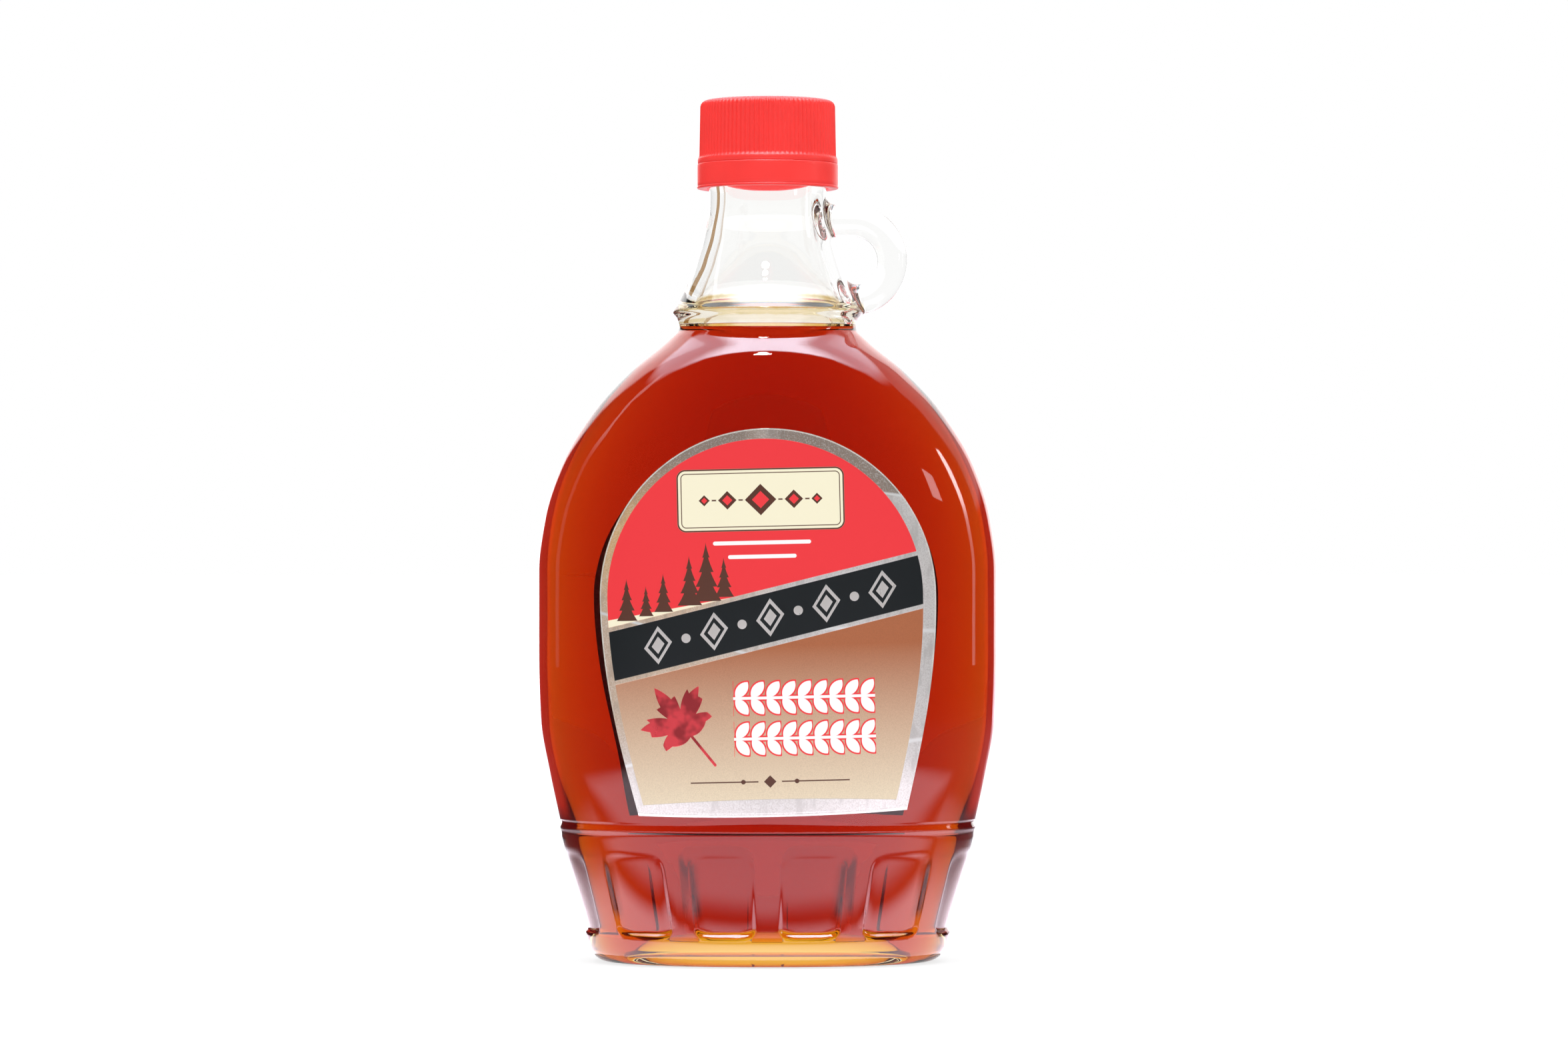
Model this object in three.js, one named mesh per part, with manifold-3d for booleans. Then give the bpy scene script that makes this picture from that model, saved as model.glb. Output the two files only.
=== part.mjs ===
// A flat glass syrup flask: a slab-sided body on a panelled skirt, a flared neck with a finger loop,
// a ribbed screw cap over a tamper band, a label on the front and one on the back, and the syrup inside.
// Millimetres, +Z up. The flask stands on z = 0 with its neck axis on X = Y = 0. The front label
// faces -Y and the finger loop points to +X.

import * as THREE from "three";
import { mergeVertices } from "three/addons/utils/BufferGeometryUtils.js";
import Module from "manifold-3d";

const wasm = await Module();
wasm.setup();

// Outside of the flask: heights and half widths seen from the front
const SKIRT_FOOT = { z: 6.4, halfWidth: 40.2 };
const SKIRT_TOP = { z: 27.6, halfWidth: 45.4 };
const RIDGE = { z: 29.5, halfWidth: 45.95, round: 0.7 };
const BODY_WIDTH = [
  [31.2, 45.75],
  [41.7, 48.0],
  [53.5, 50.05],
  [68, 50.5],
  [86, 50.5],
  [97.6, 49.1],
  [109.4, 45.4],
  [121.2, 38.3],
  [130, 30.3],
  [135.9, 23.1],
  [138.7, 20.0],
];
const NECK_RADIUS = [
  [138.7, 20.0],
  [139.9, 19.7],
  [141.3, 20.1],
  [142.9, 21.1],
  [144.5, 20.2],
  [148, 18.4],
  [151, 17.15],
  [154, 16.05],
  [160, 14.2],
  [166, 12.95],
  [169, 12.85],
];

// Half depths from front to back, and how square the section is: 2 is an ellipse, and more is squarer
const HALF_DEPTH = [
  [0, 18.2],
  [6.4, 20.7],
  [27.6, 22.3],
  [45, 22.8],
  [118, 22.8],
  [126, 22.65],
  [131, 21.9],
  [133.3, 20.95],
  [136.6, 19.9],
  [138.7, 20.0],
];
const SQUARENESS = [
  [27.6, 2.2],
  [46, 2.6],
  [94, 2.6],
  [138.7, 2],
];

// Foot: a flat ring to stand on round a shallow hollow, and a rounded heel
const STANDING_RING = { inside: 32.0, outside: 35.2 };
const PUSH_UP = { top: 2.2, shoulderZ: 1.8, shoulderHalfWidth: 20.8, shoulderHalfDepth: 8.3 };

// Sunk panels round the skirt, by their distance along the skirt from the middle of the front
const PANEL = { bottom: 6.9, top: 24.9, footDepth: 0.9, headDepth: 0.3, wall: 1.0 };
const PANEL_SPANS = [
  [2.4, 17.0],
  [21.7, 36.3],
  [41.2, 52.4],
];

// Glass thickness and the mouth under the cap
const WALL = 3.2;
const MOUTH = { z: 187.6, outside: 13.0, bore: 9.7, beadFoot: 170.4 };

// Inside of the flask: its floor, as [share of the way out, z], and the flare from shoulder to mouth,
// as [z, radius]
const FLOOR = [
  [0, 7.6],
  [0.45, 7.2],
  [0.7, 4.6],
  [0.86, 2.8],
  [0.95, 3.6],
  [0.995, 7.0],
];
const BORE = [
  [139, 16.4],
  [143.5, 15.7],
  [148, 14.3],
  [154, 12.2],
  [161, 10.4],
  [169, MOUTH.bore],
];

// Finger loop on the neck
const LOOP = { x: 18.7, z: 154.4, radius: 8.8, thickness: 6.9, topInset: 12.2, endAngle: -97 };

// Syrup, and the gap that touching pieces keep
const SYRUP_LEVEL = 139.7;
const GAP = 0.3;

// Screw cap and tamper band
const CAP = { bottom: 175.9, top: 189.8, radius: 15.1, lipRadius: 15.45, lip: 1.0, round: 1.4, bore: 13.3 };
const CAP_CEILING = MOUTH.z + GAP;
const RIBS = { count: 90, depth: 0.3, bottom: 177.5 };
const BAND = { bottom: 170.2, top: 175.6, radius: 15.6, bore: 13.3, edge: 0.4 };

// Labels: a horseshoe with its wide round end up, and a foot with a slight bow. The back one is
// a little narrower.
const LABEL = { bottom: 33.6, shoulder: 80.5, thickness: 0.3, footBow: 0.7 };
const FRONT_LABEL = { side: -1, halfWidth: 36.5, footHalfWidth: 29.1, shiftX: 0.65, tilt: 1.3 };
const BACK_LABEL = { side: 1, halfWidth: 33.6, footHalfWidth: 26.2, shiftX: -0.3, tilt: 0 };

// How finely each surface is divided
const BODY_HEIGHTS = [31.2, 42, 52, 68, 84, 93, 100, 106, 111.5, 116.5, 121, 125, 129, 132.5, 135.8];
const NECK_HEIGHTS = [138.7, 139.9, 141.3, 142.3, 142.9, 143.6, 145, 149, 154, 160];
const HOLLOW_HEIGHTS = [13, 29, 44, 58, 84, 97, 108, 117, 124, 129.5, 134, 137];
const HOLLOW_COLUMNS = 36;
const HEEL_STEPS = 3;
const LOOP_STEPS = { along: 26, around: 12, turn: 11 };
const ROUND_SIDES = 48;
const CORNER_STEPS = 3;
const LABEL_STEPS = 10;
const ARC_STEPS = 2000;

const GLASS = { color: 0xe8f0ec, roughness: 0.05, metalness: 0, transparent: true, opacity: 0.35 };
const SYRUP = { color: 0xa81a04, roughness: 0.1, metalness: 0 };
const RED_PLASTIC = { color: 0xe8241f, roughness: 0.45, metalness: 0 };
const LABEL_PAPER = { color: 0xc9a077, roughness: 0.45, metalness: 0.2 };

// A smooth curve through [position, value] stations that never swings past them: cubic Hermite
// pieces whose slope at each station is the harmonic mean of the slopes on its two sides.
function smoothThrough(stations) {
  const steps = stations.slice(1).map(([x, y], i) => (y - stations[i][1]) / (x - stations[i][0]));
  const slopes = stations.map((_, i) => {
    const before = steps[i - 1];
    const after = steps[i];
    if (before === undefined || after === undefined) return before ?? after;
    return before * after > 0 ? (2 * before * after) / (before + after) : 0;
  });
  return (x) => {
    const last = stations.length - 1;
    if (x <= stations[0][0]) return stations[0][1];
    if (x >= stations[last][0]) return stations[last][1];
    const i = stations.findIndex(([end]) => x < end) - 1;
    const span = stations[i + 1][0] - stations[i][0];
    const t = (x - stations[i][0]) / span;
    const start = stations[i][1] * (1 + 2 * t) * (1 - t) ** 2 + slopes[i] * span * t * (1 - t) ** 2;
    return start + stations[i + 1][1] * t * t * (3 - 2 * t) + slopes[i + 1] * span * t * t * (t - 1);
  };
}

const bodyWidth = smoothThrough(BODY_WIDTH);
const neckRadius = smoothThrough(NECK_RADIUS);
const halfDepth = smoothThrough(HALF_DEPTH);
const squareness = smoothThrough(SQUARENESS);
const NECK_FOOT_Z = NECK_RADIUS[0][0];
const FINISH_Z = NECK_RADIUS[NECK_RADIUS.length - 1][0];

// The point at an angle round a section. Angle 0 is the middle of the front, at -Y, and a quarter
// turn is +X.
function sectionPoint(width, depth, power, angle) {
  const across = Math.sin(angle);
  const forward = Math.cos(angle);
  const reach = (Math.abs(across) ** power + Math.abs(forward) ** power) ** (-1 / power);
  return [width * reach * across, -depth * reach * forward];
}

// Angles of the section's columns: they fall on the edges of the panels' walls, on the middles of
// the panels and ribs, and mirror from the first quarter to the other three.
function columnAngles() {
  const width = (SKIRT_FOOT.halfWidth + SKIRT_TOP.halfWidth) / 2;
  const depth = halfDepth((SKIRT_FOOT.z + SKIRT_TOP.z) / 2);
  const turnOf = (i) => (i / ARC_STEPS) * (Math.PI / 2);
  const arcs = [0];
  for (let i = 1; i <= ARC_STEPS; i++) {
    const [x0, y0] = sectionPoint(width, depth, SQUARENESS[0][1], turnOf(i - 1));
    const [x1, y1] = sectionPoint(width, depth, SQUARENESS[0][1], turnOf(i));
    arcs.push(arcs[i - 1] + Math.hypot(x1 - x0, y1 - y0));
  }
  const quarterArc = arcs[ARC_STEPS];
  const angleAt = (arc) => turnOf(arcs.findIndex((reached) => reached >= Math.min(arc, quarterArc)));
  const columns = [{ arc: 0, sunk: 0 }];
  PANEL_SPANS.forEach(([start, end], i) => {
    const last = i === PANEL_SPANS.length - 1;
    const finish = last ? quarterArc : end;
    columns.push({ arc: start, sunk: 0 }, { arc: start + PANEL.wall, sunk: 1 });
    columns.push({ arc: (start + finish) / 2, sunk: 1 });
    if (last) return columns.push({ arc: quarterArc, sunk: 1 });
    columns.push({ arc: end - PANEL.wall, sunk: 1 }, { arc: end, sunk: 0 });
    columns.push({ arc: (end + PANEL_SPANS[i + 1][0]) / 2, sunk: 0 });
  });
  const quarter = columns.map(({ arc, sunk }) => ({ angle: angleAt(arc), sunk }));
  const mirror = (list, turn) => list.slice(0, -1).reverse().map((c) => ({ ...c, angle: turn - c.angle }));
  const half = [...quarter, ...mirror(quarter, Math.PI)];
  return [...half, ...mirror(half, 2 * Math.PI)];
}

// A closed surface through rings { z, width, depth, power, sunk }. It is a lathe of the half widths
// whose round rings are then drawn out to the sections.
function ringSurface(rings, columns) {
  const profile = rings.map((r) => new THREE.Vector2(r.width, r.z));
  const geometry = new THREE.LatheGeometry(profile, columns.length - 1);
  const position = geometry.getAttribute("position");
  for (let k = 0; k < position.count; k++) {
    const ring = rings[k % rings.length];
    const column = columns[Math.floor(k / rings.length)];
    const sink = (ring.sunk ?? 0) * (column.sunk ?? 0);
    const [x, y] = sectionPoint(ring.width - sink, ring.depth - sink, ring.power, column.angle);
    position.setXYZ(k, x, y, ring.z);
  }
  return geometry;
}

const evenColumns = (count) =>
  Array.from({ length: count + 1 }, (_, i) => ({ angle: (i / count) * 2 * Math.PI }));

function toSolid(geometry) {
  const bare = geometry.clone();
  bare.deleteAttribute("normal");
  bare.deleteAttribute("uv");
  const merged = mergeVertices(bare, 1e-4);
  return new wasm.Manifold(
    new wasm.Mesh({
      numProp: 3,
      vertProperties: new Float32Array(merged.getAttribute("position").array),
      triVerts: new Uint32Array(merged.index.array),
    }),
  );
}

function toGeometry(solid) {
  const mesh = solid.getMesh();
  const geometry = new THREE.BufferGeometry();
  geometry.setAttribute("position", new THREE.BufferAttribute(mesh.vertProperties, 3));
  geometry.setIndex(new THREE.BufferAttribute(mesh.triVerts, 1));
  geometry.computeVertexNormals();
  return geometry;
}

function part(name, geometry, look) {
  const mesh = new THREE.Mesh(geometry, new THREE.MeshStandardMaterial(look));
  mesh.name = name;
  return mesh;
}

// A ring of the flask's outside at height z
function bodyRing(z, width, sunk = 0) {
  return { z, width, depth: halfDepth(z), power: squareness(z), sunk };
}

function neckRing(z, radius = neckRadius(z)) {
  return { z, width: radius, depth: radius, power: 2 };
}

const skirtWidth = (z) =>
  THREE.MathUtils.mapLinear(z, SKIRT_FOOT.z, SKIRT_TOP.z, SKIRT_FOOT.halfWidth, SKIRT_TOP.halfWidth);

// Foot: the hollow's middle, the standing ring's two edges, then quarter-ellipse steps up the heel
function footRings() {
  const power = SQUARENESS[0][1];
  const { inside, outside } = STANDING_RING;
  const { top, shoulderZ, shoulderHalfWidth, shoulderHalfDepth } = PUSH_UP;
  const footDepth = HALF_DEPTH[0][1];
  const rings = [
    { z: top, width: 0, depth: 0, power },
    { z: shoulderZ, width: shoulderHalfWidth, depth: shoulderHalfDepth, power },
    { z: 0, width: inside, depth: footDepth - (outside - inside), power },
    { z: 0, width: outside, depth: footDepth, power },
  ];
  for (let i = 1; i < HEEL_STEPS; i++) {
    const turn = (i / HEEL_STEPS) * (Math.PI / 2);
    const out = Math.sin(turn);
    const up = 1 - Math.cos(turn);
    rings.push({
      z: SKIRT_FOOT.z * up,
      width: THREE.MathUtils.lerp(outside, SKIRT_FOOT.halfWidth, out),
      depth: THREE.MathUtils.lerp(footDepth, HALF_DEPTH[1][1], out),
      power,
    });
  }
  return rings;
}

// Skirt and ridge: the panels are sunk between PANEL.bottom and PANEL.top
function skirtRings() {
  const { bottom, top, footDepth, headDepth, wall } = PANEL;
  const middle = (bottom + top) / 2;
  return [
    bodyRing(bottom, skirtWidth(bottom)),
    bodyRing(bottom + wall, skirtWidth(bottom + wall), footDepth),
    bodyRing(middle, skirtWidth(middle), (footDepth + headDepth) / 2),
    bodyRing(top - wall, skirtWidth(top - wall), headDepth),
    bodyRing(top, skirtWidth(top)),
    bodyRing(SKIRT_TOP.z, SKIRT_TOP.halfWidth),
    bodyRing(RIDGE.z - RIDGE.round, RIDGE.halfWidth - 0.1),
    bodyRing(RIDGE.z + RIDGE.round / 2, RIDGE.halfWidth),
  ];
}

// Finger loop: a round bar that leaves the neck level and curls down to the collar
function fingerLoop() {
  const { x, z, radius, thickness, topInset, endAngle } = LOOP;
  const points = [topInset, (topInset + x) / 2].map((start) => new THREE.Vector3(start, 0, z + radius));
  for (let degrees = 90; degrees >= endAngle; degrees -= LOOP_STEPS.turn) {
    const turn = THREE.MathUtils.degToRad(degrees);
    points.push(new THREE.Vector3(x + radius * Math.cos(turn), 0, z + radius * Math.sin(turn)));
  }
  const section = new THREE.Shape().absarc(0, 0, thickness / 2, 0, 2 * Math.PI);
  return new THREE.ExtrudeGeometry(section, {
    steps: LOOP_STEPS.along,
    curveSegments: LOOP_STEPS.around,
    extrudePath: new THREE.CatmullRomCurve3(points),
  });
}

// The hollow inside, up to the neck. It is drawn in by `inset` where it gives the syrup its clearance.
function hollowRings(inset, topRings) {
  const inner = (z) => ({
    z,
    width: (z < BODY_WIDTH[0][0] ? skirtWidth(z) : bodyWidth(z)) - WALL - inset,
    depth: halfDepth(z) - WALL - inset,
    power: squareness(z),
  });
  const power = SQUARENESS[0][1];
  const floorWidth = SKIRT_FOOT.halfWidth - WALL - inset;
  const floorDepth = HALF_DEPTH[1][1] - WALL - inset;
  const floorRing = ([share, z]) => ({
    z: z + inset,
    width: floorWidth * share,
    depth: floorDepth * share,
    power,
  });
  return [
    ...FLOOR.map(floorRing),
    ...HOLLOW_HEIGHTS.map(inner),
    ...topRings,
  ];
}

const boreRadius = smoothThrough(BORE);

function flask() {
  const outside = ringSurface(
    [
      ...footRings(),
      ...skirtRings(),
      ...BODY_HEIGHTS.map((z) => bodyRing(z, bodyWidth(z))),
      ...NECK_HEIGHTS.map((z) => neckRing(z)),
      neckRing(FINISH_Z),
      neckRing(MOUTH.beadFoot, MOUTH.outside),
      neckRing(MOUTH.z, MOUTH.outside),
      neckRing(MOUTH.z, 0),
    ],
    columnAngles(),
  );
  const above = MOUTH.z + 5;
  const hollow = ringSurface(
    hollowRings(0, [
      ...BORE.map(([z, radius]) => neckRing(z, radius)),
      neckRing(above, MOUTH.bore),
      neckRing(above, 0),
    ]),
    evenColumns(HOLLOW_COLUMNS),
  );
  return toGeometry(toSolid(outside).add(toSolid(fingerLoop())).subtract(toSolid(hollow)));
}

function syrup() {
  const neckFoot = BORE[0][0];
  return ringSurface(
    hollowRings(GAP, [
      neckRing(neckFoot, boreRadius(neckFoot) - GAP),
      neckRing(SYRUP_LEVEL, boreRadius(SYRUP_LEVEL) - GAP),
      neckRing(SYRUP_LEVEL, 0),
    ]),
    evenColumns(HOLLOW_COLUMNS),
  );
}

// A turned piece about the neck's axis, from [radius, z] points
function lathe(profile) {
  const points = profile.map(([radius, z]) => new THREE.Vector2(radius, z));
  return new THREE.LatheGeometry(points, ROUND_SIDES).rotateX(Math.PI / 2);
}

// Cap: a lathed cup with a rounded top edge and a thin lip, and fine ribs round its grip
function cap() {
  const { bottom, top, radius, lipRadius, lip, round, bore } = CAP;
  const corner = [];
  for (let i = 0; i <= CORNER_STEPS; i++) {
    const turn = (i / CORNER_STEPS) * (Math.PI / 2);
    corner.push([radius - round + round * Math.cos(turn), top - round + round * Math.sin(turn)]);
  }
  const cup = lathe([
    [0, CAP_CEILING],
    [bore, CAP_CEILING],
    [bore, bottom],
    [lipRadius, bottom],
    [lipRadius, bottom + lip],
    [radius, RIBS.bottom],
    ...corner,
    [0, top],
  ]);
  // The crests stay just inside the flat sides of the lathed wall
  const crest = radius * Math.cos(Math.PI / ROUND_SIDES) - 0.01;
  const outline = new THREE.Shape();
  for (let i = 0; i < 2 * RIBS.count; i++) {
    const turn = (i / RIBS.count) * Math.PI;
    const reach = i % 2 ? crest : crest - RIBS.depth;
    const place = [reach * Math.cos(turn), reach * Math.sin(turn)];
    if (i === 0) outline.moveTo(...place);
    else outline.lineTo(...place);
  }
  outline.closePath();
  const past = 1;
  const grip = new THREE.ExtrudeGeometry(outline, { depth: top - RIBS.bottom + past, bevelEnabled: false });
  grip.translate(0, 0, RIBS.bottom);
  const skirt = lathe([
    [0, bottom - past],
    [lipRadius + past, bottom - past],
    [lipRadius + past, RIBS.bottom + 0.01],
    [0, RIBS.bottom + 0.01],
  ]);
  return toGeometry(toSolid(cup).intersect(toSolid(grip).add(toSolid(skirt))));
}

function tamperBand() {
  const { bottom, top, radius, bore, edge } = BAND;
  return lathe([
    [bore, bottom],
    [radius - edge / 2, bottom],
    [radius, bottom + edge],
    [radius, top - edge],
    [radius - edge, top],
    [bore, top],
    [bore, bottom],
  ]);
}

// Half width of a label at a height up its own face: a curved taper from the foot, then a round top
function labelHalfWidth({ halfWidth, footHalfWidth }, z) {
  const { bottom, shoulder } = LABEL;
  if (z >= shoulder) return Math.sqrt(Math.max(0, halfWidth ** 2 - (z - shoulder) ** 2));
  const share = (z - bottom) / (shoulder - bottom);
  return footHalfWidth + (halfWidth - footHalfWidth) * Math.sin((share * Math.PI) / 2);
}

// A thin sheet that follows the flask's face. It is a box bent over a grid of the label's own
// heights and widths.
function label(place) {
  const { side, halfWidth, shiftX, tilt } = place;
  const { bottom, shoulder, thickness, footBow } = LABEL;
  const sheet = new THREE.BoxGeometry(2, 2, 2, LABEL_STEPS, 1, LABEL_STEPS);
  const position = sheet.getAttribute("position");
  const turn = THREE.MathUtils.degToRad(tilt);
  const middle = (bottom + shoulder) / 2;
  for (let k = 0; k < position.count; k++) {
    const across = position.getX(k);
    const share = (position.getZ(k) + 1) / 2;
    const up = Math.sin((share * Math.PI) / 2);
    const height = bottom + (shoulder + halfWidth * 0.995 - bottom) * up;
    const x0 = across * labelHalfWidth(place, height);
    const z0 = height - footBow * (1 - share) * (1 - across ** 2) - middle;
    const x = x0 * Math.cos(turn) - z0 * Math.sin(turn) + shiftX;
    const z = x0 * Math.sin(turn) + z0 * Math.cos(turn) + middle;
    const power = squareness(z);
    const face = halfDepth(z) * (1 - Math.abs(x / bodyWidth(z)) ** power) ** (1 / power);
    const outward = face + GAP + (position.getY(k) * side > 0 ? thickness : 0);
    position.setXYZ(k, x, side * outward, z);
  }
  return sheet;
}

const bottle = new THREE.Group();
bottle.add(part("flask", flask(), GLASS));
bottle.add(part("syrup", syrup(), SYRUP));
bottle.add(part("cap", cap(), RED_PLASTIC));
bottle.add(part("tamper_band", tamperBand(), RED_PLASTIC));
bottle.add(part("front_label", label(FRONT_LABEL), LABEL_PAPER));
bottle.add(part("back_label", label(BACK_LABEL), LABEL_PAPER));

export default bottle;
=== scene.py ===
import bpy
import numpy as np
from bpy.props import FloatProperty, FloatVectorProperty, IntProperty, PointerProperty
from bpy.types import Operator, Panel, PropertyGroup
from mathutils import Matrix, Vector


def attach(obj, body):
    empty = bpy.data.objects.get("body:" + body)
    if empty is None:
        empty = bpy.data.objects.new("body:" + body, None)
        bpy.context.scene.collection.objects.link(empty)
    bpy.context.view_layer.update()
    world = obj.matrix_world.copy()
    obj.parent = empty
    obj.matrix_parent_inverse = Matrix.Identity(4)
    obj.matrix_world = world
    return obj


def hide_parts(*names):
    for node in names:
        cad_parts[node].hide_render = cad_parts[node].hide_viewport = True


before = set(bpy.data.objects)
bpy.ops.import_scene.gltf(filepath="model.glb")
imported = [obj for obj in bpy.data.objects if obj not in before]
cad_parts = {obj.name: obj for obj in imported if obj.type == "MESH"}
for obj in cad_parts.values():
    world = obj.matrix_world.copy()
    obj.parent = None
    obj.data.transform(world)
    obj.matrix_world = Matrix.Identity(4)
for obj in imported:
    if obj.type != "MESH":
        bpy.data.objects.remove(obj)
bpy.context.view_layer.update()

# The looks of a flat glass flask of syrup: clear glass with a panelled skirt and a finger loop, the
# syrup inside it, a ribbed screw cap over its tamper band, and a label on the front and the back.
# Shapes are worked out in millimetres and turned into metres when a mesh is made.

bl_info = {
    "name": "Syrup flask",
    "version": (1, 0, 0),
    "blender": (4, 5, 0),
    "location": "3D View > Sidebar > Syrup flask",
    "description": "Builds a glass flask of syrup, its cap and labels, and a plain studio round it",
    "category": "Add Mesh",
}

MM = 0.001

# Outside of the flask, in millimetres: [z, half width] up to the neck, then [z, radius]
SKIRT_FOOT = (6.4, 40.2)
SKIRT_TOP = (27.6, 45.4)
BODY_WIDTH = [
    (31.2, 45.75), (41.7, 48.0), (53.5, 50.05), (68, 50.5), (86, 50.5), (97.6, 49.1),
    (109.4, 45.4), (121.2, 38.3), (130, 30.3), (135.9, 23.1), (138.7, 20.0),
]
NECK_RADIUS = [
    (138.7, 20.0), (139.9, 19.7), (141.3, 20.1), (142.9, 21.1), (144.5, 20.2), (148, 18.4),
    (151, 17.15), (154, 16.05), (160, 14.2), (166, 12.95), (169, 12.85),
]
# Half depth and squareness of the section by height; a squareness of 2 is an ellipse
HALF_DEPTH = [
    (0, 18.2), (6.4, 20.7), (27.6, 22.3), (45, 22.8), (122, 22.8), (126, 22.65), (129, 22.4),
    (131, 22.05), (132.2, 21.77), (133.3, 21.4), (134.2, 20.97), (137.3, 19.27), (138.7, 19.15),
]
# How much flatter than round the neck's foot is at its front and back
NECK_FOOT_DIP = 0.85
SQUARENESS = [(27.6, 2.2), (46, 2.6), (94, 2.6), (138.7, 2.0)]
# Half widths of the ring that the flask stands on, and the depth of the hollow inside it
STANDING_RING = (32.0, 35.2)
FOOT_HOLLOW = 2.2
# Crest of the ridge over the skirt, and how wide it is
RIDGE = (29.6, 0.75)
# Inside of the floor, as (share of the way out, z)
FLOOR = [(0, 7.6), (0.45, 7.2), (0.7, 4.6), (0.86, 2.8), (0.95, 3.6), (0.995, 7.0)]
# How much thicker than elsewhere the wall is at the skirt's two sides, by height
SIDE_GLASS = [(0, 1.7), (22, 1.7), (32, 0.0)]
# Inside of the neck, as (z, radius)
BORE = [(139, 16.4), (143.5, 15.7), (148, 14.3), (154, 12.2), (161, 10.4), (169, 9.7), (187.6, 9.7)]
# Top and outer radius of the mouth, and the height from which it goes straight up
MOUTH = {"z": 187.6, "outside": 13.0, "bead": 170.4}
NECK_FOOT = NECK_RADIUS[0][0]
# The skirt's panels: their height, and where each starts and ends along the skirt from the middle of
# the front. The last runs round the flask's side.
PANEL_HEIGHT = (6.3, 24.9)
PANEL_SPANS = [(2.4, 17.0), (21.7, 36.3), (41.2, None)]


# Curves and surfaces


def smooth_curve(stations, at):
    """A curve through (position, value) stations that never swings past them.

    Each span is the cubic Hermite piece y0 (1 + 2t)(1 - t)^2 + m0 t (1 - t)^2 + y1 t^2 (3 - 2t)
    + m1 t^2 (t - 1). The slope m at a station is the harmonic mean of the slopes of the spans
    beside it, or zero where they differ in sign.
    """
    x, y = np.asarray(stations, float).T
    at = np.clip(at, x[0], x[-1])
    span = np.diff(x)
    rise = np.diff(y) / span
    product = rise[:-1] * rise[1:]
    agree = product > 0
    inner = np.where(agree, 2 * product / np.where(agree, rise[:-1] + rise[1:], 1), 0)
    slope = np.concatenate([rise[:1], inner, rise[-1:]])
    i = np.clip(np.searchsorted(x, at, side="right") - 1, 0, len(span) - 1)
    t = (at - x[i]) / span[i]
    start = y[i] * (1 + 2 * t) * (1 - t) ** 2 + slope[i] * span[i] * t * (1 - t) ** 2
    return start + y[i + 1] * t**2 * (3 - 2 * t) + slope[i + 1] * span[i] * t**2 * (t - 1)


def ease(share):
    """A smooth step: 0 below 0, 1 above 1, and 3s^2 - 2s^3 between."""
    s = np.clip(share, 0, 1)
    return s * s * (3 - 2 * s)


def section(width, depth, power, angle):
    """The point of the superellipse |x / width|^n + |y / depth|^n = 1 at an angle from the middle
    of the front, which faces -Y. A quarter turn is +X."""
    across, forward = np.sin(angle), np.cos(angle)
    reach = (np.abs(across) ** power + np.abs(forward) ** power) ** (-1 / power)
    return width * reach * across, -depth * reach * forward


def skirt_width(z):
    """Half width of the skirt, a straight line between its foot and its top."""
    return np.interp(z, [SKIRT_FOOT[0], SKIRT_TOP[0]], [SKIRT_FOOT[1], SKIRT_TOP[1]])


def body_width(z):
    """Half width from the skirt's foot to the neck's foot."""
    return np.where(z < BODY_WIDTH[0][0], skirt_width(z), smooth_curve(BODY_WIDTH, z))


def squareness(z):
    """Power of the section's superellipse at a height. From the neck's foot up it is an ellipse."""
    return np.where(z < NECK_FOOT, smooth_curve(SQUARENESS, z), 2.0)


def front_face(x, z):
    """How far in front of the axis the flask's face is, from its superellipse."""
    power = smooth_curve(SQUARENESS, z)
    return smooth_curve(HALF_DEPTH, z) * (1 - np.abs(x / body_width(z)) ** power) ** (1 / power)


def make_mesh(name, points, faces, material_index=None):
    """A smooth-shaded object from points in millimetres and a list of face arrays, with a material
    slot for each face if they are given."""
    mesh = bpy.data.meshes.new(name)
    polygons = [face for block in faces for face in np.asarray(block).tolist()]
    mesh.from_pydata((points * MM).tolist(), [], polygons)
    if material_index is not None:
        mesh.polygons.foreach_set("material_index", material_index)
    mesh.polygons.foreach_set("use_smooth", np.ones(len(mesh.polygons), bool))
    mesh.update()
    made = bpy.data.objects.new(name, mesh)
    bpy.context.scene.collection.objects.link(made)
    return made


def closed_rings(name, rings, ring_material=None):
    """A closed surface through rings of points, an array (rings, columns, 3).

    The first and the last ring are poles: all their points are the same one. Columns run
    counter-clockwise seen from above, so faces between a ring and a higher one after it point
    outwards. Each gap between rings has its own material slot if they are given.
    """
    count, columns = rings.shape[:2]
    points = np.concatenate([rings[:1, 0], rings[1:-1].reshape(-1, 3), rings[-1:, 0]])
    here = np.arange(columns)
    there = (here + 1) % columns
    foot = 1 + np.arange(count - 3)[:, None] * columns
    quads = np.stack([foot + here, foot + there, foot + columns + there, foot + columns + here], -1)
    last_ring = 1 + (count - 3) * columns
    first_fan = np.stack([np.zeros(columns, int), 1 + there, 1 + here], -1)
    last_fan = np.stack([last_ring + here, last_ring + there, np.full(columns, len(points) - 1)], -1)
    index = None if ring_material is None else np.repeat(np.asarray(ring_material, np.int32), columns)
    return make_mesh(name, points, [first_fan, quads.reshape(-1, 4), last_fan], index)


def turned(name, profile, columns, radius_change=0):
    """A closed piece turned about the neck's axis from (radius, z) points, with its radii changed
    by an array (points, columns). Its first and last point are on the axis."""
    radius, z = np.asarray(profile, float).T[:, :, None]
    angle = np.linspace(0, 2 * np.pi, columns, endpoint=False)
    reach = np.where(radius > 0, radius + radius_change, 0)
    rings = np.stack(np.broadcast_arrays(reach * np.sin(angle), -reach * np.cos(angle), z), -1)
    return closed_rings(name, rings)


def read_all(items, key, kind=np.int32, width=1):
    """One property of all of a mesh's points, corners or faces, as an array."""
    values = np.empty(width * len(items), kind)
    items.foreach_get(key, values)
    return values


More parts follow.
